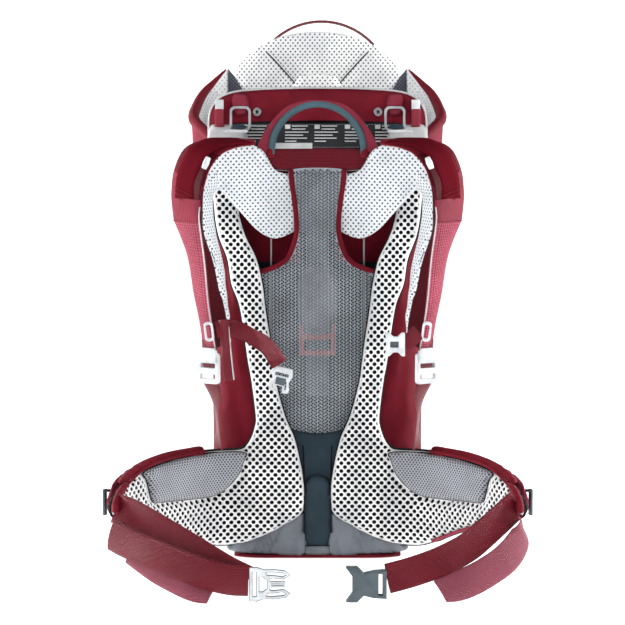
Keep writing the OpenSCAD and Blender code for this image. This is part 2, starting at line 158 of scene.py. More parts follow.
def woven(name, color, pitch=0.0009, uv=False, sheen=0.35, rough=0.75, ribs=None, spread=(0.8, 1.2),
          depth=0.0003, diagonal=False, gloss=0.22, contrast=0.35):
    """Woven cloth: crossing threads, broad colour drift, and ribs across it where they are asked for."""
    n = Nodes(name)
    where = n.coords("UV" if uv else "Object")
    x, y, z = n.split(where)
    if not uv:
        x, y = n.math("ADD", x, n.math("MULTIPLY", y, 0.83)), z
    if diagonal:
        x, y = n.math("ADD", x, y), n.math("SUBTRACT", x, y)
    threads = n.math("MULTIPLY", n.wave(x, pitch), n.wave(y, pitch))
    drift = n.noise(where, 18.0)
    fine = n.noise(where, 900.0, 2.0)
    dark, light = shades(color, *spread)
    tone = n.mix(n.range(drift, 0.3, 0.7), dark, light)
    tone = n.mix(n.math("MULTIPLY", n.range(threads, -1, 1), contrast), tone, shades(color, 0.4)[0])
    height = n.math("ADD", threads, n.math("MULTIPLY", fine, 0.8))
    if ribs:
        rib = n.wave(y, ribs)
        tone = n.mix(n.math("MULTIPLY", n.range(rib, -1, 0.2), 0.5), shades(color, 0.5)[0], tone)
        height = n.math("ADD", height, n.math("MULTIPLY", rib, 2.0))
    n.link(tone, n.shader.inputs["Base Color"])
    n.bump(height, depth)
    n.set(Roughness=rough, Sheen_Weight=sheen, Sheen_Roughness=0.35, Specular_IOR_Level=gloss)
    n.set(Sheen_Tint=light)
    if color[0] > 4 * color[1]:
        n.set(Specular_Tint=(1.0, 0.42, 0.48))
    return n.mat


def hex_dots(n, where, pitch, row, radius):
    """1 inside a dot of a staggered pattern, 0 outside."""
    x, y, _ = n.split(where)
    near = None
    for shift in (0.0, 0.5):
        fx = n.math("SUBTRACT", n.math("FRACT", n.math("ADD", n.math("DIVIDE", x, pitch), shift)), 0.5)
        fy = n.math("SUBTRACT", n.math("FRACT", n.math("ADD", n.math("DIVIDE", y, 2 * row), shift)), 0.5)
        dx, dy = n.math("MULTIPLY", fx, pitch), n.math("MULTIPLY", fy, 2 * row)
        d = n.math("SQRT", n.math("ADD", n.math("MULTIPLY", dx, dx), n.math("MULTIPLY", dy, dy)))
        near = d if near is None else n.math("MINIMUM", near, d)
    return n.range(near, radius * 1.25, radius * 0.75)


def dotted(name, color, hole, pitch=0.0056, row=0.0028, radius=0.00095, standing=False):
    """Perforated soft cloth: rows of small dark holes in a finely knitted face."""
    n = Nodes(name)
    where = n.coords("UV")
    if standing:
        x, y, z = n.split(n.coords())
        nx, _, nz = n.split(n.coords("Normal"))
        up = n.math("GREATER_THAN", n.math("ABSOLUTE", nz), 0.8)
        aside = n.math("GREATER_THAN", n.math("ABSOLUTE", nx), 0.8)
        join = n.add("ShaderNodeCombineXYZ")
        n.link(n.math("ADD", x, n.math("MULTIPLY", aside, n.math("SUBTRACT", y, x))), join.inputs[0])
        n.link(n.math("ADD", z, n.math("MULTIPLY", up, n.math("SUBTRACT", y, z))), join.inputs[1])
        where = join.outputs[0]
    dots = hex_dots(n, where, pitch, row, radius)
    drift = n.noise(where, 12.0)
    knit = n.noise(where, 1500.0, 2.0)
    dark, light = shades(color, 0.86, 1.1)
    tone = n.mix(n.range(drift, 0.3, 0.7), dark, light)
    tone = n.mix(n.math("MULTIPLY", knit, 0.18), tone, shades(color, 0.6)[0])
    n.link(n.mix(dots, tone, hole), n.shader.inputs["Base Color"])
    n.bump(n.math("ADD", n.math("MULTIPLY", dots, -3.0), n.math("MULTIPLY", knit, 0.5)), 0.0004)
    n.set(Roughness=0.85, Sheen_Weight=0.25, Sheen_Roughness=0.5)
    return n.mat


def knitted(name, color):
    """The strands of the open spacer mesh: fine twisted fibres."""
    n = Nodes(name)
    where = n.coords()
    fibre = n.noise(where, 1400.0, 3.0, 0.7)
    drift = n.noise(where, 25.0)
    dark, light = shades(color, 0.8, 1.12)
    tone = n.mix(n.range(drift, 0.35, 0.65), dark, light)
    n.link(n.mix(n.range(fibre, 0.5, 0.75), tone, shades(color, 0.55)[0]), n.shader.inputs["Base Color"])
    n.bump(fibre, 0.0004)
    n.set(Roughness=0.8, Sheen_Weight=0.3, Sheen_Roughness=0.5)
    return n.mat


def plastic(name, color, rough=0.42, grain=0.00006, clear=0.0):
    n = Nodes(name)
    where = n.coords()
    speck = n.noise(where, 2600.0, 2.0)
    broad = n.noise(where, 60.0)
    dark, light = shades(color, 0.85, 1.12)
    n.link(n.mix(n.range(broad, 0.35, 0.65), dark, light), n.shader.inputs["Base Color"])
    n.link(n.range(broad, 0.3, 0.7, rough - 0.06, rough + 0.08), n.shader.inputs["Roughness"])
    n.bump(speck, grain)
    if clear:
        n.set(Transmission_Weight=clear, IOR=1.5)
    return n.mat


def metal(name, color, rough=0.3, brushed=0.35):
    n = Nodes(name)
    where = n.coords()
    long_grain = n.add("ShaderNodeMapping")
    n.link(where, long_grain.inputs[0])
    long_grain.inputs["Scale"].default_value = (1.0, 1.0, 0.04)
    grain = n.noise(long_grain.outputs[0], 1800.0, 3.0)
    broad = n.noise(where, 35.0)
    dark, light = shades(color, 0.88, 1.08)
    n.link(n.mix(n.range(broad, 0.35, 0.65), dark, light), n.shader.inputs["Base Color"])
    n.link(n.range(grain, 0.3, 0.7, rough - 0.08, rough + 0.12), n.shader.inputs["Roughness"])
    n.bump(grain, 0.00003, brushed)
    n.set(Metallic=1.0)
    return n.mat


MAROON = (0.200, 0.010, 0.022)
ROSE = (0.330, 0.040, 0.070)
WEB_RED = (0.250, 0.010, 0.024)
SLATE = (0.038, 0.066, 0.088)

M = {
    "cloth": woven("red_pack_cloth", MAROON, 0.0008, depth=0.0002, sheen=0.05, rough=0.5),
    "side_cloth": woven("red_side_cloth", ROSE, 0.0016, depth=0.0004, sheen=0.10, rough=0.55, diagonal=True),
    "web": woven("red_webbing", WEB_RED, 0.0011, uv=True, ribs=0.0019, depth=0.0003, sheen=0.05,
                 rough=0.34, gloss=0.60),
    "diamond": woven("red_diamond_mesh", (0.50, 0.10, 0.15), 0.0072, uv=True, diagonal=True, depth=0.0012,
                     sheen=0.10, contrast=0.9),
    # a darker, matte copy of the red webbing for the crown's top: painted shade on a face that the top light
    # reaches
    "shaded_crown_web": woven("crown_webbing", (0.175, 0.008, 0.018), 0.0011, uv=True, ribs=0.0019, depth=0.0001,
                       sheen=0.0, rough=0.9, gloss=0.03),
    # a darker copy of the red webbing: painted shade, used on the strap wall and the crown strip where shade
    # falls
    "shaded_web": woven("shaded_red_webbing", (0.120, 0.005, 0.012), 0.0011, uv=True, ribs=0.0019, depth=0.0003,
                      sheen=0.0, rough=0.5, gloss=0.12),
    # a lighter pink copy of the red webbing for the strap tails: painted highlight
    "lit_tail_web": woven("lit_rose_webbing", (0.520, 0.120, 0.180), 0.0011, uv=True, ribs=0.0019, depth=0.0003,
                      sheen=0.05, rough=0.34, gloss=0.6),
    "strands": knitted("white_strands", (0.90, 0.92, 0.94)),
    # near-black cloth for the pad cores and edges, the zips and the piping, and also painted shade in the
    # sewn grooves of the inset and the headrest
    "under": woven("black_backing_and_groove_shade", (0.008, 0.009, 0.011), sheen=0.0),
    "dots": dotted("white_dot_cloth", (0.75, 0.79, 0.83), (0.012, 0.018, 0.025), 0.0068, 0.0040, 0.00115,
                   standing=True),
    "inset": dotted("grey_inset_mesh", (0.46, 0.48, 0.53), (0.05, 0.06, 0.08), 0.0046, 0.0030, 0.0013),
    "satin": woven("satin_lining", (0.30, 0.33, 0.38), 0.0006, sheen=0.1, rough=0.35, gloss=0.5),
    "lining": woven("pale_lining", (0.84, 0.87, 0.90), 0.0007, sheen=0.1, rough=0.5),
    "pale_dots": dotted("pale_dot_lining", (0.88, 0.90, 0.92), (0.40, 0.43, 0.47), 0.0068, 0.0040, 0.0009,
                        standing=True),
    "slate": woven("slate_cloth", SLATE, 0.0013, sheen=0.1, diagonal=True),
    "net": knitted("net_grey", (0.36, 0.40, 0.44)),
    "night": woven("net_backing", (0.014, 0.022, 0.030), sheen=0.0),
    "net_band": knitted("net_band_grey", (0.22, 0.19, 0.22)),
    "dark_mesh": dotted("dark_side_mesh", (0.05, 0.055, 0.08), (0.15, 0.16, 0.2), 0.0050, 0.0025, 0.0007),
    "light_plastic": plastic("light_plastic", (0.60, 0.63, 0.65)),
    "dark_plastic": plastic("dark_plastic", (0.060, 0.085, 0.100)),
    "smoke_plastic": plastic("smoke_plastic", (0.35, 0.40, 0.42), 0.15, clear=0.6),
    "rubber": plastic("black_rubber", (0.015, 0.015, 0.017), 0.7, 0.0002),
    "button": plastic("red_button", (0.50, 0.010, 0.020), 0.25),
    "coral": woven("coral_webbing", (0.85, 0.20, 0.14), 0.0012, sheen=0.2),
    "head_dots": dotted("white_head_cloth", (0.90, 0.92, 0.94), (0.012, 0.018, 0.025), 0.0068, 0.0040,
                        0.00110, standing=True),
    # a lighter copy of the red webbing for the socket loops, lightened to offset the shade they sit in:
    # painted light
    "lit_side_web": woven("lit_red_loop_webbing", (0.52, 0.07, 0.11), 0.0011, uv=True, ribs=0.0019, sheen=0.1),
    "web_flat": woven("red_moulded_webbing", WEB_RED, 0.0012, sheen=0.05),
    "slate_handle": woven("slate_handle", (0.07, 0.15, 0.19), 0.0009, sheen=0.1, rough=0.45, gloss=0.5),
    "ring_metal": plastic("ring_finish", (0.34, 0.36, 0.38), 0.3),
    "label": woven("label_black", (0.010, 0.011, 0.013), 0.0005, sheen=0.05, rough=0.4, depth=0.00008),
    "alu": metal("aluminium_tube", (0.60, 0.61, 0.63)),
    "stay": metal("stay_rod", (0.30, 0.28, 0.28), 0.4),
    "steel": metal("screw_steel", (0.30, 0.30, 0.31), 0.35),
}

# --------------------------------------------------------------- mesh helpers


def make(name, verts, faces, mat, uv=None, smooth=True):
    """A mesh object from points in millimetres. uv is one pair per point, in metres."""
    mesh = bpy.data.meshes.new(name)
    mesh.from_pydata([tuple(MM * float(c) for c in v) for v in verts], [], faces)
    mesh.validate()
    mesh.update()
    if uv is not None:
        layer = mesh.uv_layers.new(name="UVMap")
        for loop in mesh.loops:
            layer.data[loop.index].uv = uv[loop.vertex_index]
    if smooth:
        mesh.polygons.foreach_set("use_smooth", [True] * len(mesh.polygons))
    mesh.materials.append(mat)
    obj = bpy.data.objects.new(name, mesh)
    bpy.context.scene.collection.objects.link(obj)
    return obj


def apply_modifiers(obj):
    bpy.context.view_layer.update()
    done = bpy.data.meshes.new_from_object(obj.evaluated_get(bpy.context.evaluated_depsgraph_get()))
    obj.modifiers.clear()
    obj.data = done
    return obj


def curve_points(points, steps):
    """A smooth curve through points of any dimension."""
    p = [np.array(q, float) for q in points]
    out = []
    for i in range(len(p) - 1):
        a, b, c, d = p[max(i - 1, 0)], p[i], p[i + 1], p[min(i + 2, len(p) - 1)]
        for k in range(steps):
            t = k / steps
            out.append(0.5 * (2 * b + (c - a) * t + (2 * a - 5 * b + 4 * c - d) * t * t
                              + (3 * b - a - 3 * c + d) * t ** 3))
    out.append(p[-1])
    return np.array(out)


def lengths(points):
    return np.concatenate([[0], np.cumsum(np.linalg.norm(np.diff(points, axis=0), axis=1))])


def mirrored(points, side):
    """Points are written for the left, at negative X."""
    flip = np.array([1.0 if side == LEFT else -1.0, 1.0, 1.0])
    return np.array(points, float) * flip


def unit(v):
    return v / max(np.linalg.norm(v), 1e-9)


def tube(name, points, radius, mat, sides=10, steps=4, closed=False):
    """A round cord or piping through points. radius is one number, or one for each point."""
    line = curve_points(points, steps) if steps > 1 else np.array(points, float)
    thick = np.full(len(line), float(radius)) if np.isscalar(radius) else \
        curve_points([[r] for r in radius], steps)[:, 0]
    if closed:
        line = line[:-1]
    count = len(line)
    verts, faces, up = [], [], np.array([0.0, 0.0, 1.0])
    side_axis = None
    for i, p in enumerate(line):
        ahead = line[(i + 1) % count] if closed else line[min(i + 1, count - 1)]
        behind = line[i - 1] if closed or i else line[0]
        t = unit(ahead - behind)
        if side_axis is None:
            side_axis = unit(np.cross(t, up if abs(t[2]) < 0.9 else np.array([1.0, 0, 0])))
        side_axis = unit(side_axis - t * np.dot(side_axis, t))
        other = np.cross(t, side_axis)
        for k in range(sides):
            a = 2 * math.pi * k / sides
            verts.append(p + thick[i] * (math.cos(a) * side_axis + math.sin(a) * other))
    rings = count if closed else count - 1
    for i in range(rings):
        for k in range(sides):
            a, b = i * sides + k, i * sides + (k + 1) % sides
            c, d = ((i + 1) % count) * sides + (k + 1) % sides, ((i + 1) % count) * sides + k
            faces.append((a, b, c, d))
    if not closed:
        faces.append(tuple(range(sides))[::-1])
        faces.append(tuple(range((count - 1) * sides, count * sides)))
    return make(name, verts, faces, mat)


def ribbon(name, line, width, thick, mat, steps=8, across=6, side=LEFT, sag=0.0):
    """Flat webbing along a centre line of [point, direction of its width]."""
    centre = curve_points([p for p, _ in line], steps)
    wide = curve_points([unit(np.array(w, float)) for _, w in line], steps)
    run = lengths(centre)
    verts, uv, loop = [], [], 2 * across
    for i, p in enumerate(centre):
        t = unit(centre[min(i + 1, len(centre) - 1)] - centre[max(i - 1, 0)])
        w = unit(wide[i] - t * np.dot(wide[i], t))
        n = np.cross(w, t)
        for k in range(loop):
            front = k < across
            s = (k if front else loop - 1 - k) / (across - 1) - 0.5
            edge = 1 - (abs(2 * s)) ** 8 * 0.7
            h = (0.5 if front else -0.5) * thick * edge + sag * (1 - 4 * s * s)
            verts.append(p + w * s * width + n * h)
            uv.append((run[i] * MM, s * width * MM))
    faces = []
    for i in range(len(centre) - 1):
        for k in range(loop):
            a, b = i * loop + k, i * loop + (k + 1) % loop
            faces.append((a, b, b + loop, a + loop))
    last = (len(centre) - 1) * loop
    faces.append(tuple(range(loop))[::-1])
    faces.append(tuple(range(last, last + loop)))
    return finish_side(make(name, mirrored(verts, side), faces, mat, uv), side)


def finish_side(obj, side):
    """A mirrored mesh has its faces turned round again."""
    if side == RIGHT:
        obj.data.flip_normals()
    return obj


def band_pad(name, stations, mat, side=LEFT, crown=2.0, steps=6, around=30, grooves=(), power=5.0,
             wrinkle=0.0):
    """A padded strip between two edges. Each station is [edge, other edge, thickness]; the face
    that is given is the outer one. A groove is (place across, half width, depth, from, to)."""
    a = curve_points([s[0] for s in stations], steps)
    b = curve_points([s[1] for s in stations], steps)
    t = curve_points([[s[2]] for s in stations], steps)[:, 0]
    mid = (a + b) / 2
    run = lengths(mid)
    count = len(a)
    rows = []
    for i in range(count):
        along = unit(mid[min(i + 1, count - 1)] - mid[max(i - 1, 0)])
        n = unit(np.cross(b[i] - a[i], along))
        rows.append((i, 1.0, along, n))
    cap = 4
    head = [(0, math.sin(math.pi / 2 * k / cap), rows[0][2], rows[0][3]) for k in range(cap)]
    tail = [(count - 1, math.sin(math.pi / 2 * k / cap), rows[-1][2], rows[-1][3])
            for k in range(cap - 1, -1, -1)]
    verts, uv = [], []
    all_rows = head + rows + tail
    for r, (i, grow, along, n) in enumerate(all_rows):
        reach = 0.0
        if r < cap:
            reach = -(1 - math.cos(math.pi / 2 * r / cap)) * 0 + t[i] * 0.5 * math.cos(math.asin(grow))
            reach = -reach
        elif r >= cap + count:
            reach = t[i] * 0.5 * math.cos(math.asin(grow))
        width = np.linalg.norm(b[i] - a[i])
        for k in range(around):
            phi = 2 * math.pi * k / around
            c, s = math.cos(phi), math.sin(phi)
            f = 0.5 - 0.5 * math.copysign(abs(c) ** (2 / 2.6), c)
            h = math.copysign(abs(s) ** (2 / power), s)
            place = a[i] + (b[i] - a[i]) * f
            swell = crown * (4 * f * (1 - f)) ** 0.7 if s > 0 else 0.0
            for where, half, depth, start, end in grooves:
                if s > 0 and start <= i / (count - 1) <= end:
                    fade = min(1.0, (i / (count - 1) - start) * 8, (end - i / (count - 1)) * 8)
                    swell -= depth * fade * math.exp(-((f - where) * width / half) ** 2)
            off = -t[i] / 2 + (h * t[i] / 2) * grow + swell * grow
            if wrinkle and s > 0:
                off += wrinkle * noise.noise(Vector(tuple(place * 0.05))) * (4 * f * (1 - f))
            verts.append(place + n * off + along * reach)
            uv.append((run[i] * MM, f * width * MM + (0 if s >= 0 else 0.2)))
    faces = []
    for r in range(len(all_rows) - 1):
        for k in range(around):
            p, q = r * around + k, r * around + (k + 1) % around
            faces.append((p, p + around, q + around, q))
    faces.append(tuple(range(around)))
    last = (len(all_rows) - 1) * around
    faces.append(tuple(range(last + around - 1, last - 1, -1)))
    return finish_side(make(name, mirrored(verts, side), faces, mat, uv), side)


def put(piece, body, slot_name, *nodes):
    """Rides a finished piece on its body and hides the CAD nodes that it stands for. The slot name is not
    used.
    """
    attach(piece, body)
    if nodes:
        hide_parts(*nodes)
    return piece


# --------------------------------------------------- back pads and hip fins
# The wearer's side of a pad is a sheet that runs out along a plan line and up in Z.

PLAN = [(-10, -38), (-60, -38), (-100, -39.5), (-126, -44), (-150, -58), (-182, -92), (-210, -130),
        (-236, -170), (-248, -202), (-254, -222)]
plan_line = curve_points(PLAN, 30)
plan_run = lengths(plan_line) + 10
PAD_OUTLINE = [(104, 511), (104, 468), (96, 434), (81, 401), (73, 367), (69, 334), (63, 295), (59, 264),
               (55, 235), (43, 191), (31, 162), (22, 124), (18, 94), (17, 76), (20, 62), (31, 51),
               (62, 34), (92, 22), (113, 18), (134, 19), (151, 25), (200, 46), (246, 63), (300, 78),
               (334, 90), (340, 103), (332, 112), (319, 119), (301, 126), (267, 139), (226, 144),
               (185, 146), (145, 147), (108, 147), (96, 151), (88, 162), (83, 178), (82, 191),
               (87, 235), (92, 264), (102, 334), (113, 367), (118, 401), (129, 434), (134, 468),
               (134, 511)]
INSET_OUTLINE = [(97, 143), (98, 132), (105, 113), (121, 95), (139, 86), (172, 86), (212, 89), (246, 93),
                 (254, 107), (260, 124), (266, 135), (226, 141), (185, 143), (145, 144)]


def on_pad(u, z, lift=0.0):
    """A point on the wearer's side of the left pad, lifted off it by so many millimetres."""
    x = np.interp(u, plan_run, plan_line[:, 0])
    y = np.interp(u, plan_run, plan_line[:, 1])
    x2 = np.interp(u + 1, plan_run, plan_line[:, 0]) - np.interp(u - 1, plan_run, plan_line[:, 0])
    y2 = np.interp(u + 1, plan_run, plan_line[:, 1]) - np.interp(u - 1, plan_run, plan_line[:, 1])
    y = y + np.interp(z, [200, 370], [0, 10]) * (u < 140)
    size = math.hypot(x2, y2)
    return np.array([x - lift * y2 / size, y + lift * x2 / size, z])


def edge_distance(points, outline):
    """How far each point lies from an outline."""
    p = np.array(points, float)
    o = np.array(outline, float)
    best = np.full(len(p), 1e9)
    for a, b in zip(o, np.roll(o, -1, axis=0)):
        ab = b - a
        t = np.clip(((p - a) @ ab) / (ab @ ab), 0, 1)
        best = np.minimum(best, np.linalg.norm(p - (a + t[:, None] * ab), axis=1))
    return best


def inside(points, outline):
    p = np.array(points, float)
    o = np.array(outline, float)
    hit = np.zeros(len(p), bool)
    for a, b in zip(o, np.roll(o, -1, axis=0)):
        crosses = (a[1] > p[:, 1]) != (b[1] > p[:, 1])
        with np.errstate(divide="ignore", invalid="ignore"):
            x = (b[0] - a[0]) * (p[:, 1] - a[1]) / (b[1] - a[1]) + a[0]
        hit ^= crosses & (p[:, 0] < x)
    return hit


def smooth_outline(outline, step=4.0):
    """The outline's corners rounded by a curve, with points about a step apart."""
    closed = list(outline) + [outline[0]]
    line = curve_points([outline[-1]] + closed + [outline[1]], 8)[8:-8]
    run = lengths(line)
    count = max(8, int(run[-1] / step))
    at = np.linspace(0, run[-1], count, endpoint=False)
    return [(float(np.interp(s, run, line[:, 0])), float(np.interp(s, run, line[:, 1]))) for s in at]


def only_inside(flat, faces, outline):
    middle = np.array(flat)[np.array(faces)].mean(axis=1)
    return flat, [f for f, ok in zip(faces, inside(middle, outline)) if ok]


def cut_sheet(outline, holes):
    """Flat triangles that fill an outline but leave out the holes."""
    verts, edges, rings, starts = [], [], [outline, *holes], [0]
    for ring in rings:
        first = len(verts)
        verts += [Vector(p) for p in ring]
        edges += [(first + i, first + (i + 1) % len(ring)) for i in range(len(ring))]
        starts.append(len(verts))
    out = delaunay_2d_cdt(verts, edges, [], 1, 1e-4, True)
    ring_of = [next((k for k in range(len(rings)) if any(starts[k] <= o < starts[k + 1] for o in old)), -1)
               for old in out[3]]
    faces = [tuple(f) for f in out[2]
             if not (ring_of[f[0]] > 0 and ring_of[f[0]] == ring_of[f[1]] == ring_of[f[2]])]
    return only_inside([tuple(v) for v in out[0]], faces, outline)


def outline_near(points, outline):
    """For each point, the nearest point on an outline."""
    best, where = np.full(len(points), 1e9), np.zeros((len(points), 2))
    p = np.array(points, float)
    for a, b in zip(np.array(outline, float), np.roll(np.array(outline, float), -1, axis=0)):
        t = np.clip(((p - a) @ (b - a)) / ((b - a) @ (b - a) + 1e-9), 0, 1)
        q = a + t[:, None] * (b - a)
        d = np.linalg.norm(p - q, axis=1)
        where[d < best] = q[d < best]
        best = np.minimum(best, d)
    return where


def round_holes(outline, pitch, row, rx, rz, rim, sides=8, skip=None):
    """Staggered holes inside an outline and outside skip. One that meets an edge is cut short there."""
    o = np.array(outline)
    (x0, z0), (x1, z1) = o.min(axis=0), o.max(axis=0)
    centres, odd, z = [], 0, z0
    while z < z1 + rz:
        x = x0 + (pitch / 2 if odd else 0)
        while x < x1 + rx:
            centres.append((x, z))
            x += pitch
        z += row
        odd ^= 1
    turn = np.array([(rx * math.cos(2 * math.pi * (k + 0.5) / sides),
                      rz * math.sin(2 * math.pi * (k + 0.5) / sides)) for k in range(sides)])
    rings = np.array(centres)[:, None, :] + turn[None]
    corners = rings.reshape(-1, 2)
    for line, keep_inside in ((outline, True), (skip, False)):
        if line is None:
            continue
        near = outline_near(corners, line)
        off = corners - near
        gap = np.linalg.norm(off, axis=1)
        good = inside(corners, line) == keep_inside
        off = np.where(good[:, None], off, -off) / np.maximum(gap, 1e-6)[:, None]
        move = ~good | (gap < rim)
        corners = np.where(move[:, None], near + off * rim, corners)
    moved = corners.reshape(rings.shape)
    x, z = moved[..., 0], moved[..., 1]
    area = 0.5 * (x * np.roll(z, -1, 1) - np.roll(x, -1, 1) * z).sum(axis=1)
    shift = np.linalg.norm(moved - rings, axis=2).max(axis=1)
    ok = (area > 5.0) & (shift < 2 * rx)
    return [[tuple(c) for c in ring] for ring in moved[ok]]


def grid_inside(outline, step):
    o = np.array(outline)
    (x0, z0), (x1, z1) = o.min(axis=0), o.max(axis=0)
    pts = np.array([(x, z) for z in np.arange(z0, z1, step) for x in np.arange(x0, x1, step)])
    keep = inside(pts, outline) & (edge_distance(pts, outline) > step * 0.6)
    return [tuple(p) for p in pts[keep]]


def filled(outline, step=6.0):
    verts = [Vector(p) for p in outline] + [Vector(p) for p in grid_inside(outline, step)]
    edges = [(i, (i + 1) % len(outline)) for i in range(len(outline))]
    out = delaunay_2d_cdt(verts, edges, [], 1, 1e-4, False)
    return only_inside([tuple(v) for v in out[0]], [tuple(f) for f in out[2]], outline)


def rounded(distance, radius, depth):
    """How far a padded face falls back near its edge."""
    t = np.clip(distance / radius, 0, 1)
    return depth * (1 - np.sqrt(1 - (1 - t) ** 2))


def groove_depth(flat, grooves):
    """How deep the sewn lines press into a pad, at each flat point."""
    deep = np.zeros(len(flat))
    for line, half, depth in grooves:
        near = np.full(len(flat), 1e9)
        p = np.array(flat)
        for a, b in zip(np.array(line[:-1], float), np.array(line[1:], float)):
            ab = b - a
            t = np.clip(((p - a) @ ab) / (ab @ ab), 0, 1)
            near = np.minimum(near, np.linalg.norm(p - (a + t[:, None] * ab), axis=1))
        deep = np.maximum(deep, depth * np.exp(-(near / half) ** 2))
    return deep


def pad_sheet(name, outline, flat, faces, lift, radius, depth, thick, mat, side, crease=None):
    fall = rounded(edge_distance(flat, outline), radius, depth)
    if crease is not None:
        near = edge_distance(flat, crease)
        fall = fall + 6.0 * np.exp(-(near / 7.0) ** 2)
        fall = fall + groove_depth(flat, [([(150, 92), (128, 78), (104, 80)], 6.0, 4.0)])
    fall = fall + np.array([0.9 * noise.noise(Vector((u * 0.03, z * 0.03, 1.0))) for u, z in flat])
    verts = [on_pad(u, z, lift - f) for (u, z), f in zip(flat, fall)]
    uv = [(u * MM, z * MM) for u, z in flat]
    obj = finish_side(make(name, mirrored(verts, side), faces, mat, uv), side)
    probe = np.array([p.normal for p in obj.data.polygons])[:, 1].mean()
    if probe > 0:
        obj.data.flip_normals()
    solid = obj.modifiers.new("thickness", "SOLIDIFY")
    solid.thickness = thick * MM
    solid.offset = -1
    return apply_modifiers(obj)


def back_pad(side, word):
    outline = smooth_outline(PAD_OUTLINE)
    inset = smooth_outline(INSET_OUTLINE)
    grown = [tuple(p) for p in outline]
    holes = round_holes(outline, 9.8, 5.3, 2.95, 2.8, 1.3, skip=inset)
    flat, faces = cut_sheet(grown, holes)
    mesh = pad_sheet(f"spacer_mesh_{word}", outline, flat, faces, 0.0, 14, 9, 1.6, M["strands"], side,
                     crease=inset)
    flat, faces = filled(outline)
    core = pad_sheet(f"pad_core_{word}", outline, flat, faces, -3.0, 14, 9, 9.0, M["under"], side,
                     crease=inset)
    flat, faces = filled(inset, 5.0)
    patch = pad_sheet(f"inset_pad_{word}", inset, flat, faces, 3.5, 24, 8.0, 3.0, M["inset"], side)
    # a near-black line round the inset: painted shade in the groove at its edge
    seam = tube(f"inset_groove_shade_{word}",
                mirrored([on_pad(u, z, -5.0) for u, z in inset + inset[:1]], side), 0.8, M["under"],
                sides=6, steps=1, closed=True)
    edge = tube(f"pad_edge_{word}",
                mirrored([on_pad(u, z, -10.5) for u, z in outline + outline[:1]], side), 1.7,
                M["under"], sides=6, steps=1, closed=True)
    for piece, slot_name in ((mesh, "white_spacer_mesh"), (core, "slate_cloth"), (patch, "satin_lining"),
                             (seam, "slate_cloth"), (edge, "slate_cloth")):
        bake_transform(piece)
    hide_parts(f"back_pad_{word}", f"hip_fin_{word}")


both_sides(back_pad)

# ------------------------------------------------------------- soft shells


def weld(obj, gap=0.0002):
    bm = bmesh.new()
    bm.from_mesh(obj.data)
    bmesh.ops.remove_doubles(bm, verts=bm.verts, dist=gap)
    bmesh.ops.recalc_face_normals(bm, faces=bm.faces)
    bm.to_mesh(obj.data)
    bm.free()
    obj.data.polygons.foreach_set("use_smooth", [True] * len(obj.data.polygons))
    return obj


def pillow(name, outline, front, back, mat, side=LEFT, radius=10.0, crown=0.0, grooves=(),
           wrinkle=0.0, step=6.0, place=None, seed=0.0, back_crown=0.0, corner=3.0):
    """A closed padded form from a flat outline, thick between two depths (front is the smaller).
    place turns (across, up, depth) into a point; without it the pad stands in X and Z."""
    rim = smooth_outline(outline, corner)
    flat, faces = filled(rim, step)
    distance = edge_distance(flat, rim)
    near = np.clip(distance / radius, 0, 1)
    round_off = np.sqrt(1 - (1 - near) ** 2)
    half, middle = (back - front) / 2, (back + front) / 2
    swell = np.clip(distance / (distance.max() + 1e-6), 0, 1) ** 0.7
    deep = groove_depth(flat, grooves)
    place = place or (lambda u, z, depth: (u, depth, z))
    verts, uv = [], []
    for face in (-1, 1):
        for i, (u, z) in enumerate(flat):
            rough = wrinkle * noise.noise(Vector((u * 0.045, z * 0.045, seed + 9 * face)))
            rough += 0.4 * wrinkle * noise.noise(Vector((u * 0.11, z * 0.11, seed + 3 * face)))
            if face < 0:
                bulge = -half * round_off[i] - (crown * swell[i] + rough) * round_off[i]
                off = bulge + deep[i] * round_off[i]
            else:
                off = half * round_off[i] + (back_crown * swell[i] + rough) * round_off[i]
            verts.append(place(u, z, middle + off))
            uv.append((u * MM, z * MM))
    count = len(flat)
    faces = [tuple(f) for f in faces] + [tuple(i + count for i in reversed(f)) for f in faces]
    obj = make(name, mirrored(verts, side), faces, mat, uv)
    return weld(obj)


def along_line(line, pitch):
    """Points at an even pitch on a line, each with its direction."""
    line = np.array(line, float)
    run = lengths(line)
    out = []
    for s in np.arange(pitch / 2, run[-1], pitch):
        p = np.array([np.interp(s, run, line[:, k]) for k in range(3)])
        q = np.array([np.interp(min(s + 0.5, run[-1]), run, line[:, k]) for k in range(3)])
        r = np.array([np.interp(max(s - 0.5, 0), run, line[:, k]) for k in range(3)])
        out.append((p, unit(q - r)))
    return out


def stitches(name, line, mat, pitch=4.2, length=2.8, radius=0.45, side=LEFT, smooth_steps=4):
    """A row of raised stitches along a line."""
    if smooth_steps > 1:
        line = curve_points(line, smooth_steps)
    verts, faces = [], []
    for p, t in along_line(line, pitch):
        n = unit(np.cross(t, [0.3, 1.0, 0.2]))
        m = np.cross(t, n)
        first = len(verts)
        for end, swell in ((-0.5, 0.35), (-0.3, 1.0), (0.3, 1.0), (0.5, 0.35)):
            for k in range(6):
                a = math.pi * k / 3
                verts.append(p + t * end * length + radius * swell * (n * math.cos(a) + m * math.sin(a)))
        for r in range(3):
            for k in range(6):
                i, j = first + r * 6 + k, first + r * 6 + (k + 1) % 6
                faces.append((i, j, j + 6, i + 6))
        faces.append(tuple(first + k for k in range(5, -1, -1)))
        faces.append(tuple(first + 18 + k for k in range(6)))
    return finish_side(make(name, mirrored(verts, side), faces, mat), side)


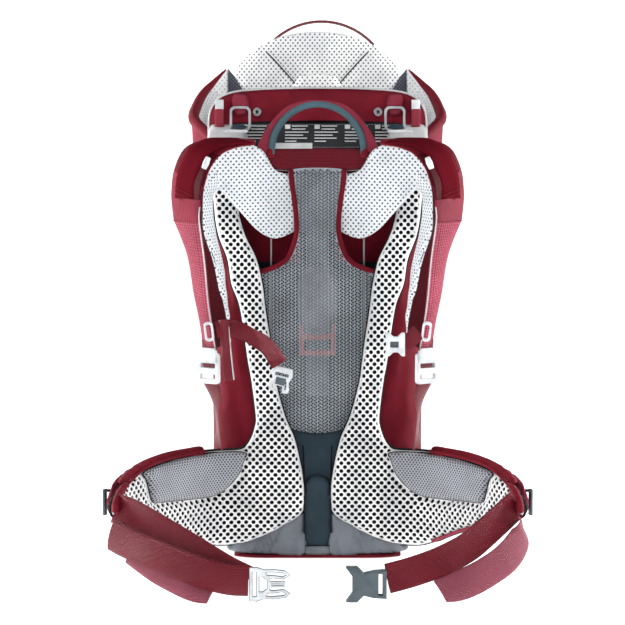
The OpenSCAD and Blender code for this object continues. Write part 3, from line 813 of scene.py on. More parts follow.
def plate(name, outline, front, back, mat, holes=(), bevel=1.0, side=LEFT, turn=None, segments=3):
    """A moulded plate from an outline in X and Z with openings, its edges rounded."""
    flat, faces = cut_sheet([tuple(p) for p in outline], [list(h) for h in holes])
    rings, first = [], 0
    for ring in [outline, *holes]:
        rings.append(list(range(first, first + len(ring))))
        first += len(ring)
    count = len(flat)
    verts = [(x, front, z) for x, z in flat] + [(x, back, z) for x, z in flat]
    all_faces = list(faces) + [tuple(i + count for i in reversed(f)) for f in faces]
    for ring in rings:
        for a, b in zip(ring, ring[1:] + ring[:1]):
            all_faces.append((a, b, b + count, a + count))
    verts = np.array(verts, float)
    if turn is not None:
        verts = turn(verts)
    obj = weld(make(name, mirrored(verts, side), all_faces, mat))
    bm = bmesh.new()
    bm.from_mesh(obj.data)
    bmesh.ops.dissolve_limit(bm, angle_limit=0.02, verts=bm.verts, edges=bm.edges)
    bm.to_mesh(obj.data)
    bm.free()
    mod = obj.modifiers.new("edge", "BEVEL")
    mod.width = bevel * MM
    mod.segments = segments
    mod.limit_method = "ANGLE"
    mod.angle_limit = 0.6
    mod.harden_normals = True
    apply_modifiers(obj)
    return flat_shade(obj)


def flat_shade(obj, angle=0.6):
    """Smooth faces with sharp edges kept."""
    obj.data.polygons.foreach_set("use_smooth", [True] * len(obj.data.polygons))
    obj.data.set_sharp_from_angle(angle=angle)
    return obj


def moulded(node, mat, body, slot_name, width=1.2, segments=3):
    """The node's own shape with its edges rounded off, as a moulded or sewn part has them."""
    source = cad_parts[node]
    mesh = source.data.copy()
    mesh.materials.clear()
    mesh.materials.append(mat)
    obj = bpy.data.objects.new(node + "_finished", mesh)
    bpy.context.scene.collection.objects.link(obj)
    bm = bmesh.new()
    bm.from_mesh(mesh)
    bmesh.ops.remove_doubles(bm, verts=bm.verts, dist=0.00002)
    bmesh.ops.dissolve_limit(bm, angle_limit=0.02, verts=bm.verts, edges=bm.edges)
    bm.to_mesh(mesh)
    bm.free()
    mod = obj.modifiers.new("edge", "BEVEL")
    mod.width = width * MM
    mod.segments = segments
    mod.limit_method = "ANGLE"
    mod.angle_limit = 0.6
    mod.harden_normals = True
    apply_modifiers(obj)
    flat_shade(obj)
    return put(obj, body, slot_name, node)


def simulated(obj, voxel, cap, pressure=4.0, shrink=2.0, grooves=None, axis=1, hold=None):
    """Pads blown up as cloth: remeshed, pulled in a little, inflated, and held at the sewn lines."""
    mod = obj.modifiers.new("remesh", "REMESH")
    mod.mode = "VOXEL"
    mod.voxel_size = voxel * MM
    mod.use_smooth_shade = True
    apply_modifiers(obj)
    mesh = obj.data
    count = len(mesh.vertices)
    start = np.empty(count * 3)
    mesh.vertices.foreach_get("co", start)
    normal = np.empty(count * 3)
    mesh.vertices.foreach_get("normal", normal)
    start, normal = start.reshape(-1, 3), normal.reshape(-1, 3)
    start = start - normal * shrink * MM
    flat = np.delete(start, axis, axis=1) / MM
    pressed = groove_depth(flat, grooves) if grooves else np.zeros(count)
    facing = np.abs(normal[:, axis]) > 0.4
    mesh.vertices.foreach_set("co", start.ravel())
    mesh.update()
    pins = obj.vertex_groups.new(name="sewn")
    weight = np.clip(pressed / max(pressed.max(), 1e-6), 0, 1) * facing
    for i in np.nonzero(weight > 0.5)[0]:
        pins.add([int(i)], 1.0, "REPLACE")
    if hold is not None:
        for i in np.nonzero(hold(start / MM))[0]:
            pins.add([int(i)], 1.0, "REPLACE")
    cloth = obj.modifiers.new("cloth", "CLOTH")
    setting = cloth.settings
    setting.quality = 4
    setting.mass = 0.25
    setting.tension_stiffness = 12
    setting.compression_stiffness = 12
    setting.shear_stiffness = 4
    setting.bending_stiffness = 0.4
    setting.use_pressure = True
    setting.uniform_pressure_force = pressure
    setting.vertex_group_mass = "sewn"
    setting.effector_weights.gravity = 0
    cloth.collision_settings.use_collision = False
    cloth.point_cache.frame_start = 1
    cloth.point_cache.frame_end = 20
    for step in range(1, 21):
        bpy.context.scene.frame_set(step)
    moved = bpy.data.meshes.new_from_object(obj.evaluated_get(bpy.context.evaluated_depsgraph_get()))
    end = np.empty(count * 3)
    moved.vertices.foreach_get("co", end)
    bpy.data.meshes.remove(moved)
    shift = end.reshape(-1, 3) - start
    size = np.linalg.norm(shift, axis=1, keepdims=True)
    shift *= np.minimum(1, cap * MM / np.maximum(size, 1e-9))
    start = start + shift
    obj.modifiers.clear()
    obj.vertex_groups.clear()
    bpy.context.scene.frame_set(1)
    if grooves:
        start[:, axis] -= np.sign(normal[:, axis]) * pressed * facing * MM
    mesh.vertices.foreach_set("co", start.ravel())
    mesh.update()
    mod = obj.modifiers.new("finer", "SUBSURF")
    mod.levels = mod.render_levels = 1
    apply_modifiers(obj)
    obj.data.polygons.foreach_set("use_smooth", [True] * len(obj.data.polygons))
    return obj


def thicken(obj, thick, offset=0):
    """Gives a sheet a thickness, half on each side unless the offset says otherwise."""
    mod = obj.modifiers.new("thick", "SOLIDIFY")
    mod.thickness = thick * MM
    mod.offset = offset


def node_copy(node, mat):
    """A CAD node's mesh to be shaped as cloth."""
    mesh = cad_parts[node].data.copy()
    mesh.materials.clear()
    mesh.materials.append(mat)
    obj = bpy.data.objects.new(node + "_cloth", mesh)
    bpy.context.scene.collection.objects.link(obj)
    return obj


def paint(obj, mat, test):
    """Gives the faces that pass the test a second material."""
    obj.data.materials.append(mat)
    last = len(obj.data.materials) - 1
    for face in obj.data.polygons:
        if test(face.center / MM, face.normal):
            face.material_index = last
    return obj


# ------------------------------------------------------------------ straps

STRAP_PAD = [
    [[-30, -9, 436], [-30, -9, 512], 6], [[-54, -15, 427], [-54, -20, 518], 7],
    [[-75, -32, 438], [-70, -38, 544], 9], [[-94, -46, 459], [-90, -62, 555], 10],
    [[-111, -58, 479], [-108, -82, 554], 9], [[-126, -65, 494], [-126, -94, 542], 8],
    [[-134, -68, 488], [-140, -106, 522], 8], [[-136, -70, 474], [-149, -115, 492], 8],
    [[-132, -70, 440], [-149, -118, 442], 8], [[-124, -67, 404], [-138, -112, 408], 8],
    [[-120, -63, 369], [-128, -104, 374], 7], [[-118, -68, 330], [-122, -96, 338], 6],
    [[-117, -82, 298], [-118, -92, 298], 4]]
STRAP_COVER = [
    [[-82, -68, 556], [-86, -38, 560], 4], [[-104, -88, 553], [-118, -52, 561], 4],
    [[-124, -106, 544], [-150, -66, 560], 4], [[-139, -120, 525], [-174, -78, 549], 5],
    [[-147, -128, 500], [-187, -90, 520], 5], [[-151, -131, 476], [-190, -95, 490], 5],
    [[-152, -131, 457], [-187, -97, 457], 5], [[-146, -128, 407], [-170, -97, 412], 5],
    [[-142, -122, 356], [-162, -94, 362], 5], [[-138, -116, 324], [-155, -90, 326], 4],
    [[-133, -108, 290], [-150, -86, 290], 4]]


def rim_line(stations, which, lift=0.0, first=0, last=None):
    """One edge of a band, lifted off its outer face."""
    a = [np.array(s[0], float) for s in stations]
    b = [np.array(s[1], float) for s in stations]
    out = []
    for i in range(first, len(stations) if last is None else last):
        mid_next = (a[min(i + 1, len(a) - 1)] + b[min(i + 1, len(a) - 1)]) / 2
        mid_last = (a[max(i - 1, 0)] + b[max(i - 1, 0)]) / 2
        n = unit(np.cross(b[i] - a[i], mid_next - mid_last))
        p = a[i] + (b[i] - a[i]) * which
        out.append(p + n * lift)
    return out


def shoulder_strap(side, word):
    pad = band_pad(f"strap_pad_{word}", STRAP_PAD, M["dots"], side, crown=3.5,
                   grooves=((0.70, 4.0, 4.5, 0.62, 0.99), (0.0, 9.0, 2.0, 0.08, 0.5)), wrinkle=2.5,
                   steps=8, around=44)
    upper = band_pad(f"strap_cover_upper_{word}", STRAP_COVER[:6], M["cloth"], side, crown=2.0,
                     grooves=((0.10, 3.0, 1.4, 0.0, 1.0), (0.90, 3.0, 1.4, 0.0, 1.0)), wrinkle=2.6)
    plain = band_pad(f"strap_cover_band_{word}", STRAP_COVER[4:7], M["side_cloth"], side, crown=2.8)
    lower = band_pad(f"strap_cover_lower_{word}", STRAP_COVER[6:], M["diamond"], side, crown=2.5,
                     grooves=((0.1, 2.5, 1.2, 0.0, 1.0), (0.9, 2.5, 1.2, 0.0, 1.0)))
    put(pad, "straps", "white_dot_cloth", f"shoulder_strap_{word}")
    put(upper, "straps", "red_pack_cloth")
    put(plain, "straps", "red_side_cloth")
    put(lower, "straps", "red_side_cloth")
    for which, row in ((0.12, "inner"), (0.88, "outer")):
        put(stitches(f"cover_stitches_{row}_{word}", rim_line(STRAP_COVER, which, 0.6, 0, 6), M["cloth"],
                     side=side), "straps", "red_pack_cloth")
    hem = rim_line(STRAP_COVER, 0.0, -1.0, 5)
    put(tube(f"cover_hem_{word}", mirrored(hem, side), 0.9, M["lining"]), "straps", "white_dot_cloth")
    # the strap's side wall, in the darker shaded webbing: painted shade on its inner side
    wall = [[(-147, -127, 500), (-149, -112, 494), 2], [(-150, -129, 476), (-149, -114, 470), 2],
            [(-151, -129, 457), (-148, -113, 442), 2], [(-146, -126, 407), (-137, -108, 408), 2],
            [(-142, -120, 356), (-126, -97, 362), 2], [(-138, -114, 324), (-119, -91, 326), 2],
            [(-133, -106, 292), (-117, -84, 299), 2]]
    put(band_pad(f"strap_wall_{word}", wall, M["shaded_web"], side, crown=0.5, wrinkle=1.0), "straps",
        "red_pack_cloth")
    # a dark slate line along the pad's fold: painted shade in the groove
    crease = rim_line(STRAP_PAD, 0.66, -1.6, 5, 11)
    put(tube(f"pad_groove_shade_{word}", mirrored(crease, side), 1.3, M["slate"], sides=8), "straps",
        "slate_cloth")
    edge = rim_line(STRAP_PAD, 0.0, -3.0, 8)
    put(tube(f"pad_hem_{word}", mirrored(edge, side), 1.0, M["lining"]), "straps", "white_dot_cloth")


both_sides(shoulder_strap)


def on_cover(place, across, lift):
    """A point on a strap's cover: how far along its stations, how far across, and off its face."""
    i = min(int(place), len(STRAP_COVER) - 2)
    low, high = rim_line(STRAP_COVER, across, lift, i, i + 2)
    return low + (high - low) * (place - i)


def across_cover(place):
    return on_cover(place, 1.0, 0) - on_cover(place, 0.0, 0)


def webbing_loops(side, word):
    """The sewn webbing and the small fitting on a strap's crown, and the strap's end tab."""
    loop = [[on_cover(p, 0.48, lift), across_cover(p)] for p, lift in
            ((0.4, 1.0), (1.2, 2.6), (2.0, 4.5), (2.8, 6.0), (3.5, 5.5), (4.1, 3.6), (4.9, 2.4))]
    # a dark strip in the shaded webbing along the cover's inner edge: painted shade in the gap between the
    # cover and the pad
    dark = [[on_cover(p, 0.10, lift), across_cover(p)] for p, lift in
            ((2.3, 2.2), (2.8, 4.6), (3.4, 5.0), (4.0, 3.8), (4.7, 2.0))]
    put(ribbon(f"crown_shade_strip_{word}", dark, 13, 1.6, M["shaded_web"], side=side, steps=10), "straps",
        "red_webbing")
    # the crown webbing in the darker matte copy: painted shade on its top
    put(ribbon(f"crown_webbing_{word}", loop, 34, 2.0, M["shaded_crown_web"], side=side, steps=10), "straps",
        "red_webbing")
    for place in (4.6, 4.8):
        put(stitches(f"crown_bar_tack_{int(place * 100)}_{word}",
                     [on_cover(place, f, 5.0) for f in (0.2, 0.48, 0.76)], M["cloth"],
                     pitch=2.4, length=2.0, side=side, smooth_steps=1), "straps", "red_webbing")
    put(plate(f"crown_fitting_{word}", [(-3, -8), (3, -8), (4, 0), (3, 8), (-3, 8), (-4, 0)], -2, 2,
              M["light_plastic"], side=side, bevel=0.9,
              turn=lambda v: v @ turned(0, 24, 30).T + np.array([-142, -131, 532])),
        "straps", "light_plastic")
    for place in (4.6, 6.0):
        seam = [on_cover(place, f, 2.6) for f in (0.04, 0.3, 0.5, 0.7, 0.96)]
        put(stitches(f"cover_seam_{int(place * 10)}_{word}", seam, M["cloth"], pitch=3.4, length=2.4,
                     side=side), "straps", "red_pack_cloth")
    end = [[(-141, -101, 302), (1, -0.9, 0)], [(-140, -100, 284), (1, -0.8, 0)],
           [(-139, -99, 262), (1, -0.65, 0)]]
    put(ribbon(f"strap_end_{word}", end, 25, 2.2, M["web"], side=side), "straps", "red_webbing")


def turned(about_x, about_y, about_z):
    """A rotation about X, then Y, then Z, in degrees."""
    return np.array(Euler([math.radians(a) for a in (about_x, about_y, about_z)]).to_matrix())


both_sides(webbing_loops)

# --------------------------------------------------- back net and back panel


def net_holes(outline, width, height, strand):
    """Triangles that point left and right by turns, in upright columns."""
    o = np.array(outline)
    (x0, z0), (x1, z1) = o.min(axis=0), o.max(axis=0)
    out, column = [], 0
    x = -width * math.ceil(-x0 / width)
    while x < x1:
        z, k = z0 + (column % 2) * height * 0.5, 0
        while z < z1:
            left = k % 2 == 0
            base, tip = (x, x + width) if left else (x + width, x)
            tri = np.array([(base, z), (tip, z + height), (base, z + 2 * height)])
            middle = tri.mean(axis=0)
            tri = middle + (tri - middle) * (1 - strand / width * 2.1)
            out.append(tri)
            z += height
            k += 1
        x += width
        column += 1
    corners = np.array([t for tri in out for t in tri])
    ok = (inside(corners, outline) & (edge_distance(corners, outline) > 1.0)).reshape(-1, 3).all(axis=1)
    return [[tuple(c) for c in tri] for tri, good in zip(out, ok) if good]


NET = [(-34, 519), (34, 519), (34, 500), (28, 459), (28, 432), (39, 399), (74, 381), (88, 330),
       (76, 250), (60, 195), (40, 168), (20, 160), (0, 158), (-20, 160), (-40, 168), (-60, 195),
       (-76, 250), (-88, 330), (-74, 381), (-39, 399), (-28, 432), (-28, 459), (-34, 500)]


def back_net():
    outline = smooth_outline(NET, 4.0)
    flat, faces = cut_sheet(outline, net_holes(outline, 4.9, 2.4, 0.62))
    verts = [(x, -12.6 + 1.2 * math.sin(z * 0.02), z) for x, z in flat]
    net = make("back_net_lattice", verts, faces, M["net"], smooth=False)
    thicken(net, 1.1)
    apply_modifiers(net)
    put(net, "pack", "net_grey", "back_net")
    for side, word in SIDES:
        line = mirrored([(-35, -13.6, 519), (-34, -13.6, 500), (-28.5, -13.6, 459), (-29, -13.6, 430),
                         (-40, -13.8, 401), (-58, -14, 389), (-76, -14, 383), (-84, -14, 378)], side)
        put(tube(f"net_binding_{word}", line, 3.4, M["cloth"], sides=12), "pack", "red_pack_cloth")
        put(stitches(f"net_stitches_{word}", [(-31, -17, 508), (-26, -17, 459), (-26.5, -17, 432),
                                              (-38, -17.2, 403), (-56, -17.4, 391)], M["cloth"],
                     side=side), "pack", "red_pack_cloth")


def back_panel():
    """The lining behind the net: red at the sides, dark in the middle, with sewn channels."""
    outline = [(-120, 34), (120, 34), (124, 120), (123, 340), (122, 560), (-122, 560), (-123, 340),
               (-124, 120)]
    grooves = [([(x, 60), (x, 550)], 2.5, 1.8) for x in (-44, 44)]
    panel = pillow("back_lining", outline, 21.5, 31.5, M["cloth"], radius=5, crown=0.5, step=10,
                   grooves=grooves, wrinkle=1.5)
    paint(panel, M["night"], lambda c, n: n[1] < -0.3 and (abs(c[0]) < 26 or (abs(c[0]) < 92 and c[2] < 396)))
    put(panel, "pack", "red_pack_cloth", "back_panel")


back_net()
back_panel()

# ----------------------------------------------------------- lumbar and base


def lumbar():
    satin = [(-117, 8), (-117, 20), (-78, 30), (-25, 59), (-17, 61), (-16.5, 40), (-17, 2.5), (-70, 3)]
    for side, word in SIDES:
        pleats = [([(-108 + 11 * k, 6), (-90 + 11 * k, 22 + 5 * k)], 2.4, 3.4) for k in range(5)]
        pleats.append(([(-30, 5), (-22, 40)], 3.0, 2.6))
        piece = pillow(f"lumbar_satin_{word}", satin, -34, -15, M["satin"], side, radius=3, crown=1.5,
                       grooves=pleats, wrinkle=3.0, step=4)
        put(piece, "pack", "satin_lining")
    strip = pillow("lumbar_stem", [(-48, 18), (48, 18), (56, 160), (61, 205), (41, 176),
                   (20, 168), (0, 166), (-20, 168), (-41, 176), (-61, 205), (-56, 160)], -19, -12, M["slate"],
                   radius=2, crown=0.5, step=7, wrinkle=1.2)
    put(strip, "pack", "slate_cloth", "lumbar_base", "lumbar_panel")
    hem = pillow("lumbar_hem", [(-17, 2.5), (17, 2.5), (17, 17), (-17, 17)], -33.5, -20, M["satin"], radius=3,
                 step=4)
    put(hem, "pack", "satin_lining")
    foot = pillow("lumbar_foot", [(-18, 15), (18, 15), (17.5, 100), (-17.5, 100)], -30, -14, M["slate"],
                  radius=1, crown=0.3, step=5)
    put(foot, "pack", "slate_cloth")
    for side, word in SIDES:
        put(tube(f"lumbar_piping_{word}", mirrored([(-18, -31, 6), (-18, -31, 84), (-18, -20.5, 112),
                                                    (-19, -20, 150)], side), 0.9, M["under"], sides=6),
            "pack", "slate_cloth")
    put(tube("lumbar_cross_seam", [(-17, -31, 16), (17, -31, 16)], 0.7, M["under"], sides=6),
        "pack", "slate_cloth")


lumbar()

# ----------------------------------------------------------------- hip belt


def on_fin(lift):
    return lambda u, z, depth: on_pad(u, z, -depth + lift)


ZIP_PIVOT = (-270.8, -175, 118)  # where the zip's pull hangs from its slider


def hip_belt(side, word):
    body = f"hip_{word}"
    shell = [(140, 28), (200, 48), (262, 72), (318, 88), (338, 100), (326, 112), (298, 124), (262, 136),
             (214, 141), (150, 143)]
    outer = pillow(f"fin_shell_{word}", shell, 11.5, 15.5, M["cloth"], side, radius=4, step=7,
                   place=on_fin(0))
    put(outer, body, "red_pack_cloth")
    pocket = [(158, 70), (162, 128), (176, 146), (222, 150), (270, 146), (302, 134), (322, 112),
              (318, 84), (286, 68), (220, 62)]
    piece = pillow(f"hip_pocket_bag_{word}", pocket, 15.0, 25.0, M["side_cloth"], side, radius=11,
                   step=6, back_crown=1.6, wrinkle=3.2, seed=4.0, place=on_fin(0))
    simulated(piece, 4.5, 2.2, pressure=3.0, shrink=0.6, axis=1)
    put(piece, body, "red_side_cloth", f"hip_pocket_{word}")
    flap = [(150, 140), (176, 138), (222, 140), (268, 136), (300, 124), (306, 132), (270, 147),
            (222, 153), (176, 154), (150, 153)]
    fold = pillow(f"pocket_flap_{word}", flap, 3.0, 19.0, M["cloth"], side, radius=7, step=4,
                  wrinkle=2.5, seed=7.0, place=on_fin(0))
    put(fold, body, "red_pack_cloth")
    zip_run = ((172, 126), (220, 129), (268, 124), (304, 108))
    zip_line = [on_pad(u, z, -28.2) for u, z in zip_run]
    put(tube(f"pocket_zip_{word}", mirrored(zip_line, side), 1.6, M["under"], sides=8), body,
        "dark_plastic")
    put(stitches(f"zip_teeth_{word}", [on_pad(u, z, -29.2) for u, z in zip_run],
                 M["dark_plastic"], pitch=2.6, length=1.4, radius=1.1, side=side), body, "dark_plastic")
    slider = [on_pad(292, 112, -18), on_pad(300, 115, -26), ZIP_PIVOT]
    put(tube(f"zip_slider_{word}", mirrored(slider, side), 2.0, M["dark_plastic"], sides=10), body,
        "dark_plastic")
    tip_wrap = [(308, 130), (330, 122), (344, 110), (345, 96), (334, 98), (326, 108), (312, 119)]
    put(pillow(f"fin_tip_{word}", tip_wrap, -1.4, 8.0, M["cloth"], side, radius=2.5, step=3, wrinkle=1.2,
               place=on_fin(0)), body, "red_pack_cloth")
    binding = [on_pad(u, z, -1.0) for u, z in
               ((150, 149), (185, 148), (226, 146), (267, 141), (301, 128), (322, 119), (338, 106))]
    put(tube(f"fin_binding_{word}", mirrored(binding, side), 1.8, M["cloth"]), body, "red_pack_cloth")
    tip = [on_pad(u, z, -2.0) for u, z in ((338, 106), (334, 92), (300, 78), (246, 63), (200, 47),
                                           (156, 28))]
    put(tube(f"fin_piping_{word}", mirrored(tip, side), 2.2, M["side_cloth"]), body, "red_side_cloth")


both_sides(hip_belt)

WAIST_ROUTE = [[(-257, -204, 101), (0.3, 0, 1)], [(-234, -222, 97), (0.35, 0, 1)],
               [(-200, -244, 83), (0.3, 0, 1)], [(-153, -267, 60), (0.25, 0, 1)],
               [(-112, -284, 39), (0.1, 0, 1)], [(-86, -290, 27), (0, 0, 1)]]
BACK_ROUTE = [[(-260, -212, 68), (0.12, 0.1, 1)], [(-240, -233.5, 63), (0.3, 0, 1)],
              [(-208, -257, 55), (0.3, 0, 1)], [(-173, -275, 45), (0.25, 0, 1)],
              [(-138, -288, 35), (0.15, 0, 1)], [(-109, -293, 29), (0.05, 0, 1)],
              [(-85, -294, 28), (0, 0, 1)]]
TAIL_ROUTE = [[(-232, -224, 52), (0.5, 0, 0.85)], [(-214, -238, 42), (0.55, 0, 0.8)],
              [(-196, -252, 33), (0.6, 0, 0.78)], [(-173, -266, 24), (0.64, 0.05, 0.74)],
              [(-150, -277, 16), (0.85, 0.15, 0.48)], [(-129, -284, 11), (0.96, 0.3, 0.2)]]
SINGLE_ROUTE = [[(-250, -206, 106), (0.3, 0, 1)], [(-215, -238, 82), (0.35, 0, 1)],
                [(-186, -256, 62), (0.3, 0, 1)], [(-151, -272, 47), (0.22, 0, 1)],
                [(-116, -284, 37), (0.1, 0, 1)], [(-85, -291, 30), (0, 0, 1)]]
LOOSE_ROUTE = [[(-254, -210, 86), (0.15, 0, 1)], [(-254, -221, 67), (0.3, 0, 1)],
               [(-236, -244, 47), (0.55, 0, 0.84)], [(-209, -260, 31), (0.62, 0, 0.78)],
               [(-182, -272, 20), (0.75, 0.1, 0.6)], [(-150, -283, 12), (0.97, 0.25, 0.15)]]


def waist_webbing(side, word):
    """The left strap runs double to the tongue, the right one single to the socket; each has a tail."""
    body = f"hip_{word}"
    route, tail_route = (WAIST_ROUTE, TAIL_ROUTE) if side == LEFT else (SINGLE_ROUTE, LOOSE_ROUTE)
    main = ribbon(f"waist_strap_{word}", route, 38, 2.2, M["web"], side=side, steps=12, across=12,
                  sag=2.0)
    put(main, body, "red_webbing", f"waist_webbing_{word}")
    if side == LEFT:
        back = ribbon(f"waist_strap_back_{word}", BACK_ROUTE, 38, 2.2, M["web"], side=side, steps=12,
                      across=12, sag=-2.5)
        put(back, body, "red_webbing")
    # the tail in the lighter copy of the webbing: painted highlight
    tail = ribbon(f"waist_tail_{word}", tail_route, 38, 2.2, M["lit_tail_web"], side=side, steps=12,
                  across=12, sag=-2.0)
    put(tail, body, "red_webbing")


both_sides(waist_webbing)

# -------------------------------------------------------------- chest straps


def rounded_box(cx, cz, width, height, radius, steps=4):
    out = []
    for sx, sz, start in ((1, 1, 0), (-1, 1, 90), (-1, -1, 180), (1, -1, 270)):
        for k in range(steps + 1):
            a = math.radians(start + 90 * k / steps)
            out.append((cx + sx * (width / 2 - radius) + radius * math.cos(a),
                        cz + sz * (height / 2 - radius) + radius * math.sin(a)))
    return out


def chest_strap_left():
    line = [[(-130, -125, 318), (0.15, 0.2, 1)], [(-110, -122, 320), (0.35, 0.5, 1)],
            [(-88, -112, 309), (0.5, -0.4, 1)], [(-66, -98, 293), (0.8, 0.4, 0.9)],
            [(-50, -84, 268), (1, 0.1, 0.45)]]
    put(ribbon("chest_webbing_left", line, 22, 1.8, M["web"], steps=10), "chest_left", "red_webbing",
        "sternum_strap_left")
    tail = [[(-121, -126, 331), (1, -0.2, 0)], [(-119, -127.5, 300), (1, -0.35, 0)],
            [(-116, -127, 272), (1, 0.1, 0)], [(-114, -126, 252), (1, -0.2, 0)]]
    put(ribbon("chest_webbing_tail", tail, 13, 1.8, M["web"], steps=8), "chest_left", "red_webbing")
    # a pale line along the tail's edge: painted highlight
    hem = [(-114.5, -127.6, 322), (-112.6, -129, 300), (-109.8, -127.5, 272), (-107.8, -127.4, 253)]
    put(tube("chest_tail_highlight", hem, 0.9, M["lining"], sides=8), "chest_left", "red_webbing")
    spin = turned(0, 14, 0)
    place = np.array([-64.5, -80.5, 235])

    def stand(v):
        return v @ spin.T + place
    frame_of = [(1, 0), (8, -1), (9, 8), (17, 8), (18, -1), (25, 0), (27, 4), (24, 14), (27, 24), (25, 32),
                (1, 32), (-1, 24), (2, 14), (-1, 4)]
    put(plate("chest_tongue", frame_of, -3.5, 3.5, M["light_plastic"], bevel=1.2,
              holes=[[(4, 20.5), (22, 20.5), (22, 25), (4, 25)], [(3.5, 4), (6, 4), (7, 15), (5, 15)],
                     [(19, 15), (20, 4), (22.5, 4), (21, 15)]], turn=stand), "chest_left", "clear_plastic")
    put(plate("chest_tongue_core", [(7, 9), (19, 9), (20, 19), (6, 19)], -3.9, 2.0, M["dark_plastic"],
              bevel=0.8, turn=stand), "chest_left", "dark_plastic")


def chest_clip(side, word):
    """A D-shaped loop that slides on the edge of the strap."""
    spin = turned(9.7, -6.3, 0)
    ring = rounded_box(-3, 0, 12, 26, 5)
    hole = rounded_box(-3, 0, 6.5, 19, 2.8)
    put(plate(f"chest_clip_{word}", ring, -11, -6, M["light_plastic"], holes=[hole], bevel=1.3, side=side,
              turn=lambda v: v @ spin.T + np.array([-137, -114.5, 317])), f"chest_{word}",
        "light_plastic")


def chest_strap_right():
    line = [[(-130, -124, 315), (0.2, 0, 1)], [(-120, -126, 306), (0.3, 0, 1)],
            [(-110, -126, 298), (0.3, 0, 1)]]
    put(ribbon("chest_webbing_right", line, 20, 1.8, M["web"], side=RIGHT), "chest_right", "red_webbing",
        "sternum_strap_right")
    body = [(86, 284), (92, 284), (97, 289), (103, 289), (108, 284), (112, 284), (112, 314), (108, 314),
            (103, 309), (97, 309), (92, 314), (86, 314), (88, 306), (88, 292)]
    put(plate("chest_socket", body, -130, -120, M["light_plastic"], bevel=1.6,
              holes=[[(93, 295), (104, 295), (104, 303), (93, 303)]]), "chest_right", "light_plastic")
    put(plate("chest_socket_liner", [(90, 291), (107, 291), (107, 307), (90, 307)], -126, -122,
              M["dark_plastic"], bevel=0.5), "chest_right", "dark_plastic")


chest_strap_left()
chest_strap_right()
both_sides(chest_clip)


def lower_webbing(side, word):
    line = [[(-138, -99, 244), (1, -0.6, 0)], [(-134, -90, 228), (0.8, -0.9, 0)],
            [(-133, -80, 206), (0.25, -1, 0)], [(-131, -66, 178), (0.2, -1, 0)],
            [(-131, -56, 154), (0.5, -0.9, 0)]]
    web = ribbon(f"adjuster_webbing_{word}", line, 24, 1.8, M["web"], side=side, steps=10)
    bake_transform(web)
    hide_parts(f"lower_webbing_{word}")


both_sides(lower_webbing)

# ---------------------------------------------------------- cockpit and head


def wall_stations(offset=0.0, thick=8.0, inner=False):
    rim = [(-147, 33, 566), (-171, 60, 583), (-168, 95, 602), (-160, 122, 620), (-144, 146, 638),
           (-130, 160, 652)]
    low = [(-126, 33, 292), (-131, 60, 292), (-132, 95, 292), (-131, 130, 292), (-128, 165, 292),
           (-124, 198, 292)]
    out = []
    for a, b in zip(low, rim):
        a, b = np.array(a, float) + (offset, 0, 0), np.array(b, float) + (offset, 0, 0)
        out.append([b, a, thick] if inner else [a, b, thick])
    return out


def cockpit_wall(side, word):
    outer = band_pad(f"cockpit_wall_{word}", wall_stations(0, 4), M["side_cloth"], side, crown=3.0,
                     wrinkle=4.0, around=60, steps=8, grooves=((0.5, 4, 1.5, 0.0, 1.0),))
    lining = band_pad(f"cockpit_lining_{word}", wall_stations(7, 3.4, True), M["pale_dots"], side,
                      crown=1.5, wrinkle=2.5, around=60, steps=8)
    rim = [(-142, 30, 548), (-146, 33, 563), (-167, 60, 583), (-165, 95, 601), (-157, 122, 618),
           (-143, 145, 634), (-130, 158, 648)]
    edge = tube(f"cockpit_rim_{word}", mirrored(rim, side), [5, 6.5, 7.5, 7, 6, 4, 2], M["cloth"], sides=16)
    mesh = [(-124, 158, 596), (-124.5, 159, 652), (-116, 164, 642), (-104, 167, 622), (-92, 168, 608),
            (-90, 168, 596)]
    side_mesh = make(f"side_mesh_{word}", mirrored(mesh, side), [tuple(range(6))], M["dark_mesh"],
                     [(x * MM, z * MM) for x, _, z in mesh])
    thicken(side_mesh, 1.0, offset=-1)
    put(apply_modifiers(side_mesh), "pack", "slate_cloth")
    put(outer, "pack", "red_side_cloth", f"cockpit_side_{word}")
    put(lining, "pack", "satin_lining")
    put(edge, "pack", "red_pack_cloth")


both_sides(cockpit_wall)


def surface_point(obj, x, z):
    """Where a line along +Y first meets a piece, in millimetres."""
    hit, place, _, _ = obj.ray_cast(Vector((x, -200, z)) * MM, Vector((0, 1, 0)))
    return np.array(place) / MM if hit else np.array([x, 168.0, z])


def headrest():
    left = [(-92, 690), (-71, 675), (-48, 651), (-25, 624), (-10, 600)]
    seams = [(left, 4.5, 5.0), ([(-x, z) for x, z in left], 4.5, 5.0)]
    pad = node_copy("headrest", M["head_dots"])
    simulated(pad, 5.0, 9.0, pressure=5.0, shrink=3.0, grooves=seams)
    put(pad, "pack", "white_dot_cloth", "headrest")
    # near-black lines along the sewn grooves: painted shade
    for side, word in SIDES:
        line = [surface_point(pad, x * 1.0, z) for x, z in curve_points(left, 6)[6:]]
        put(tube(f"headrest_groove_shade_{word}", mirrored(line, side), 0.9, M["under"], sides=6, steps=1), "pack",
            "white_dot_cloth")


def chin_pad():
    pad = node_copy("chin_pad", M["head_dots"])
    simulated(pad, 4.0, 4.0, pressure=4.0, shrink=1.5)
    put(pad, "pack", "white_dot_cloth", "chin_pad")


headrest()
chin_pad()


